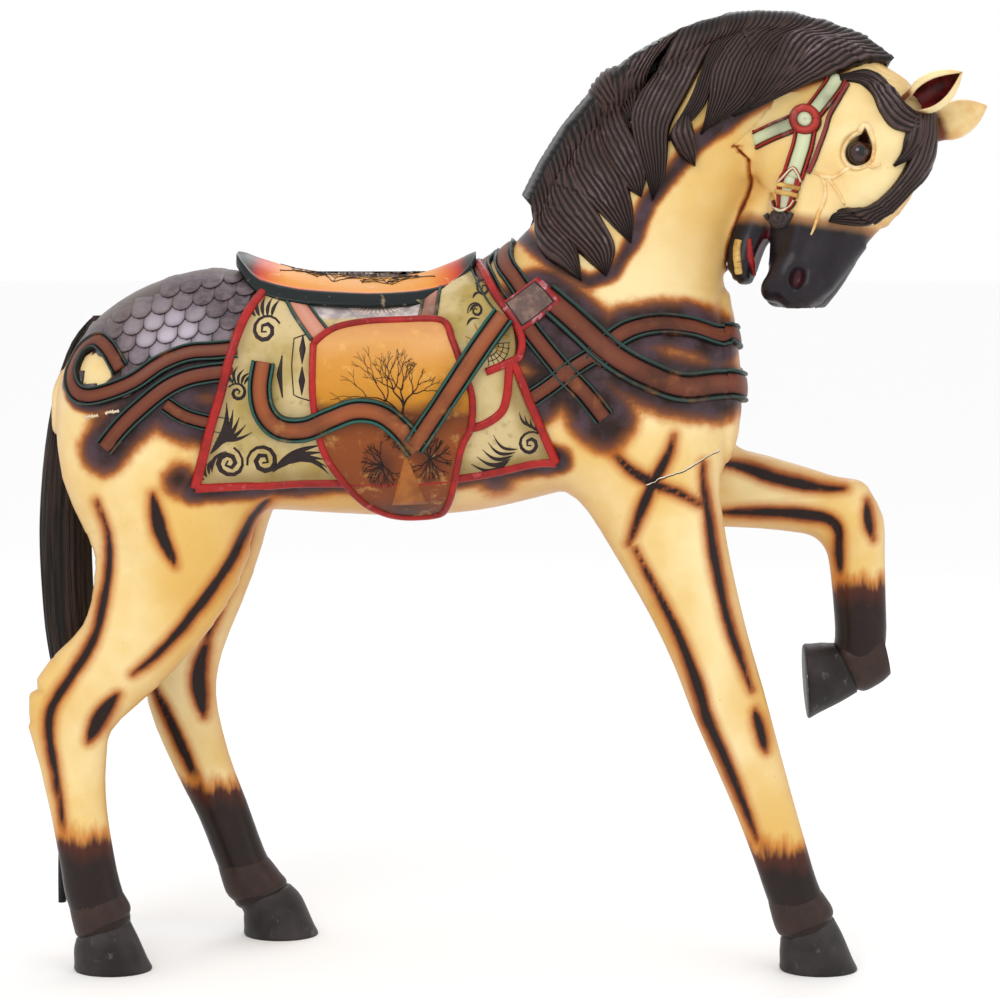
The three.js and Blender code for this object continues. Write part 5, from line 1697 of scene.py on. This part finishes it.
tailHair = Parts()
rows = smoothRows(tailStations, 8)
turn = np.linspace(0, 2 * np.pi, 96, endpoint=False)[None]
t = np.linspace(0, 1, len(rows))[:, None]
combed = 1 + 0.05 * np.abs(np.sin(11 * turn + 3 * t)) + 0.03 * np.sin(23 * turn + 9 * t)
deep, wide = [rows[:, i, None] * combed * 0.93 for i in (2, 3)]
core = np.stack([rows[:, 0, None] + deep * np.cos(turn), wide * np.sin(turn), rows[:, 1, None] + 0 * turn],
                -1)
points, faces = tube(core)
tailHair.add(points, faces, tone=0.0)
dice = np.random.default_rng(11)
for _ in range(tail["strands"]):
    begin, until = sorted(dice.uniform(0, 1, 2))
    s = np.linspace(begin * 0.6, min(until + 0.25, 1.0), 22)
    spots = np.stack([np.interp(s, t[:, 0], rows[:, i]) for i in range(4)], 1)
    angle = dice.uniform(0, 2 * np.pi) + 0.5 * np.sin(dice.uniform(0, 6) + s * 4) * dice.uniform(0.2, 1)
    reach = dice.uniform(0.93, 1.06) * (1 - 0.25 * s)
    middle = np.stack([spots[:, 0] + spots[:, 2] * reach * np.cos(angle),
                       spots[:, 3] * reach * np.sin(angle),
                       spots[:, 1]], 1)
    thickness = dice.uniform(tail["thinnest"], tail["thickest"])
    radius = thickness * np.sin(np.pi * np.linspace(0.04, 0.98, 22)) ** 0.5
    around = np.radians([0, 90, 180, 270])
    ring = np.stack([np.cos(around), np.sin(around), 0 * around], -1)
    points, faces = tube(middle[:, None] + radius[:, None, None] * ring)
    tailHair.add(points, faces, tone=dice.uniform(0, 1))
tailPiece = tailHair.make("tailHair", tailFinish(), "tail_hair")
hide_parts("horsehair_tail")
print("tail")


# age: a crack across the shoulder and chips of bare white ground

def jagged(line, seed, size, width):  # a line shaken up and down, of uneven width
    path = resample(smoothRows(line, 6), 26)
    dice = np.random.default_rng(seed)
    path[:, 1] += dice.normal(0, size, 26)
    return path, width * dice.uniform(0.4, 1.2, 26)


crackLine = [(168, 630), (190, 640), (217, 649), (240, 662), (262, 672)]
crackEdge = [(x, z + 0.9) for x, z in crackLine]
crackDark, crackPale = Parts(), Parts()
laidStrokes(crackDark, [jagged(crackLine, 2, 0.7, 2.6)], rightMap, trunkField, 0.2, 0.3, 26)
laidStrokes(crackPale, [jagged(crackEdge, 2, 0.7, 1.4)], rightMap, trunkField, 0.4, 0.4, 26)
for x, z in ((-523, 716), (-497, 722)):
    chip = [(x - 8, z), (x, z + 2), (x + 9, z + 3)]
    laidStrokes(crackPale, [jagged(chip, 5, 0.6, 4.0)], rightMap, trunkField, 6.5)
crackDark.make("crack", treeStroke)
crackPale.make("chipsAndCrackEdge", plainPaint("bareGround", "#efe6d6", "#cdbb9c", 0.6))
print("age")


# the floor, the light and the camera

def plainFinish(name, color, roughness):  # one colour with a faint cloud
    f = Finish(name)
    tone = f.mix(f.noise(1.5, 2.0) * 0.06, color, "#ffffff")
    return f.finish(Base_Color=tone, Roughness=roughness)


def areaLight(name, place, target, size, power, color=(1, 1, 1)):  # a square lamp turned to face its target
    data = bpy.data.lights.new(name, "AREA")
    data.size, data.energy, data.color = size, power, color
    lamp = bpy.data.objects.new(name, data)
    lamp.location = place
    direction = np.array(target, float) - place
    lamp.rotation_euler = (math.acos(-direction[2] / np.linalg.norm(direction)), 0,
                           math.atan2(direction[1], direction[0]) - math.pi / 2)
    bpy.context.scene.collection.objects.link(lamp)


floorMesh = bpy.data.meshes.new("floor")
floorMesh.from_pydata([(-30, -30, 0), (30, -30, 0), (30, 30, 0), (-30, 30, 0)], [], [(0, 1, 2, 3)])
floorMesh.materials.append(plainFinish("paleFloor", "#fbfbfb", 0.8))
floor = bpy.data.objects.new("floor", floorMesh)
bpy.context.scene.collection.objects.link(floor)

world = bpy.data.worlds.new("studio")
world.use_nodes = True
world.node_tree.nodes["Background"].inputs["Color"].default_value = (1, 1, 1, 1)
world.node_tree.nodes["Background"].inputs["Strength"].default_value = 1.0
bpy.context.scene.world = world
areaLight("keyLight", (-1.2, -2.6, 3.0), (0, 0, 0.7), 1.6, 34, (1, 0.98, 0.95))
areaLight("fillLight", (2.6, -2.0, 1.6), (0.2, 0, 0.7), 1.8, 8)
areaLight("rimLight", (0.6, 2.6, 2.6), (0, 0, 0.8), 1.6, 14)

view = {"place": (-0.015, -4.0, 1.0), "pitch": 5.716, "lens": 111.27, "sensor": 36.0}
cameraData = bpy.data.cameras.new("camera")
cameraData.lens, cameraData.sensor_width, cameraData.sensor_fit = view["lens"], view["sensor"], "HORIZONTAL"
camera = bpy.data.objects.new("camera", cameraData)
camera.location = view["place"]
camera.rotation_euler = (math.radians(90 - view["pitch"]), 0, 0)
bpy.context.scene.collection.objects.link(camera)
bpy.context.scene.camera = camera
bpy.context.scene.view_settings.view_transform = "Standard"
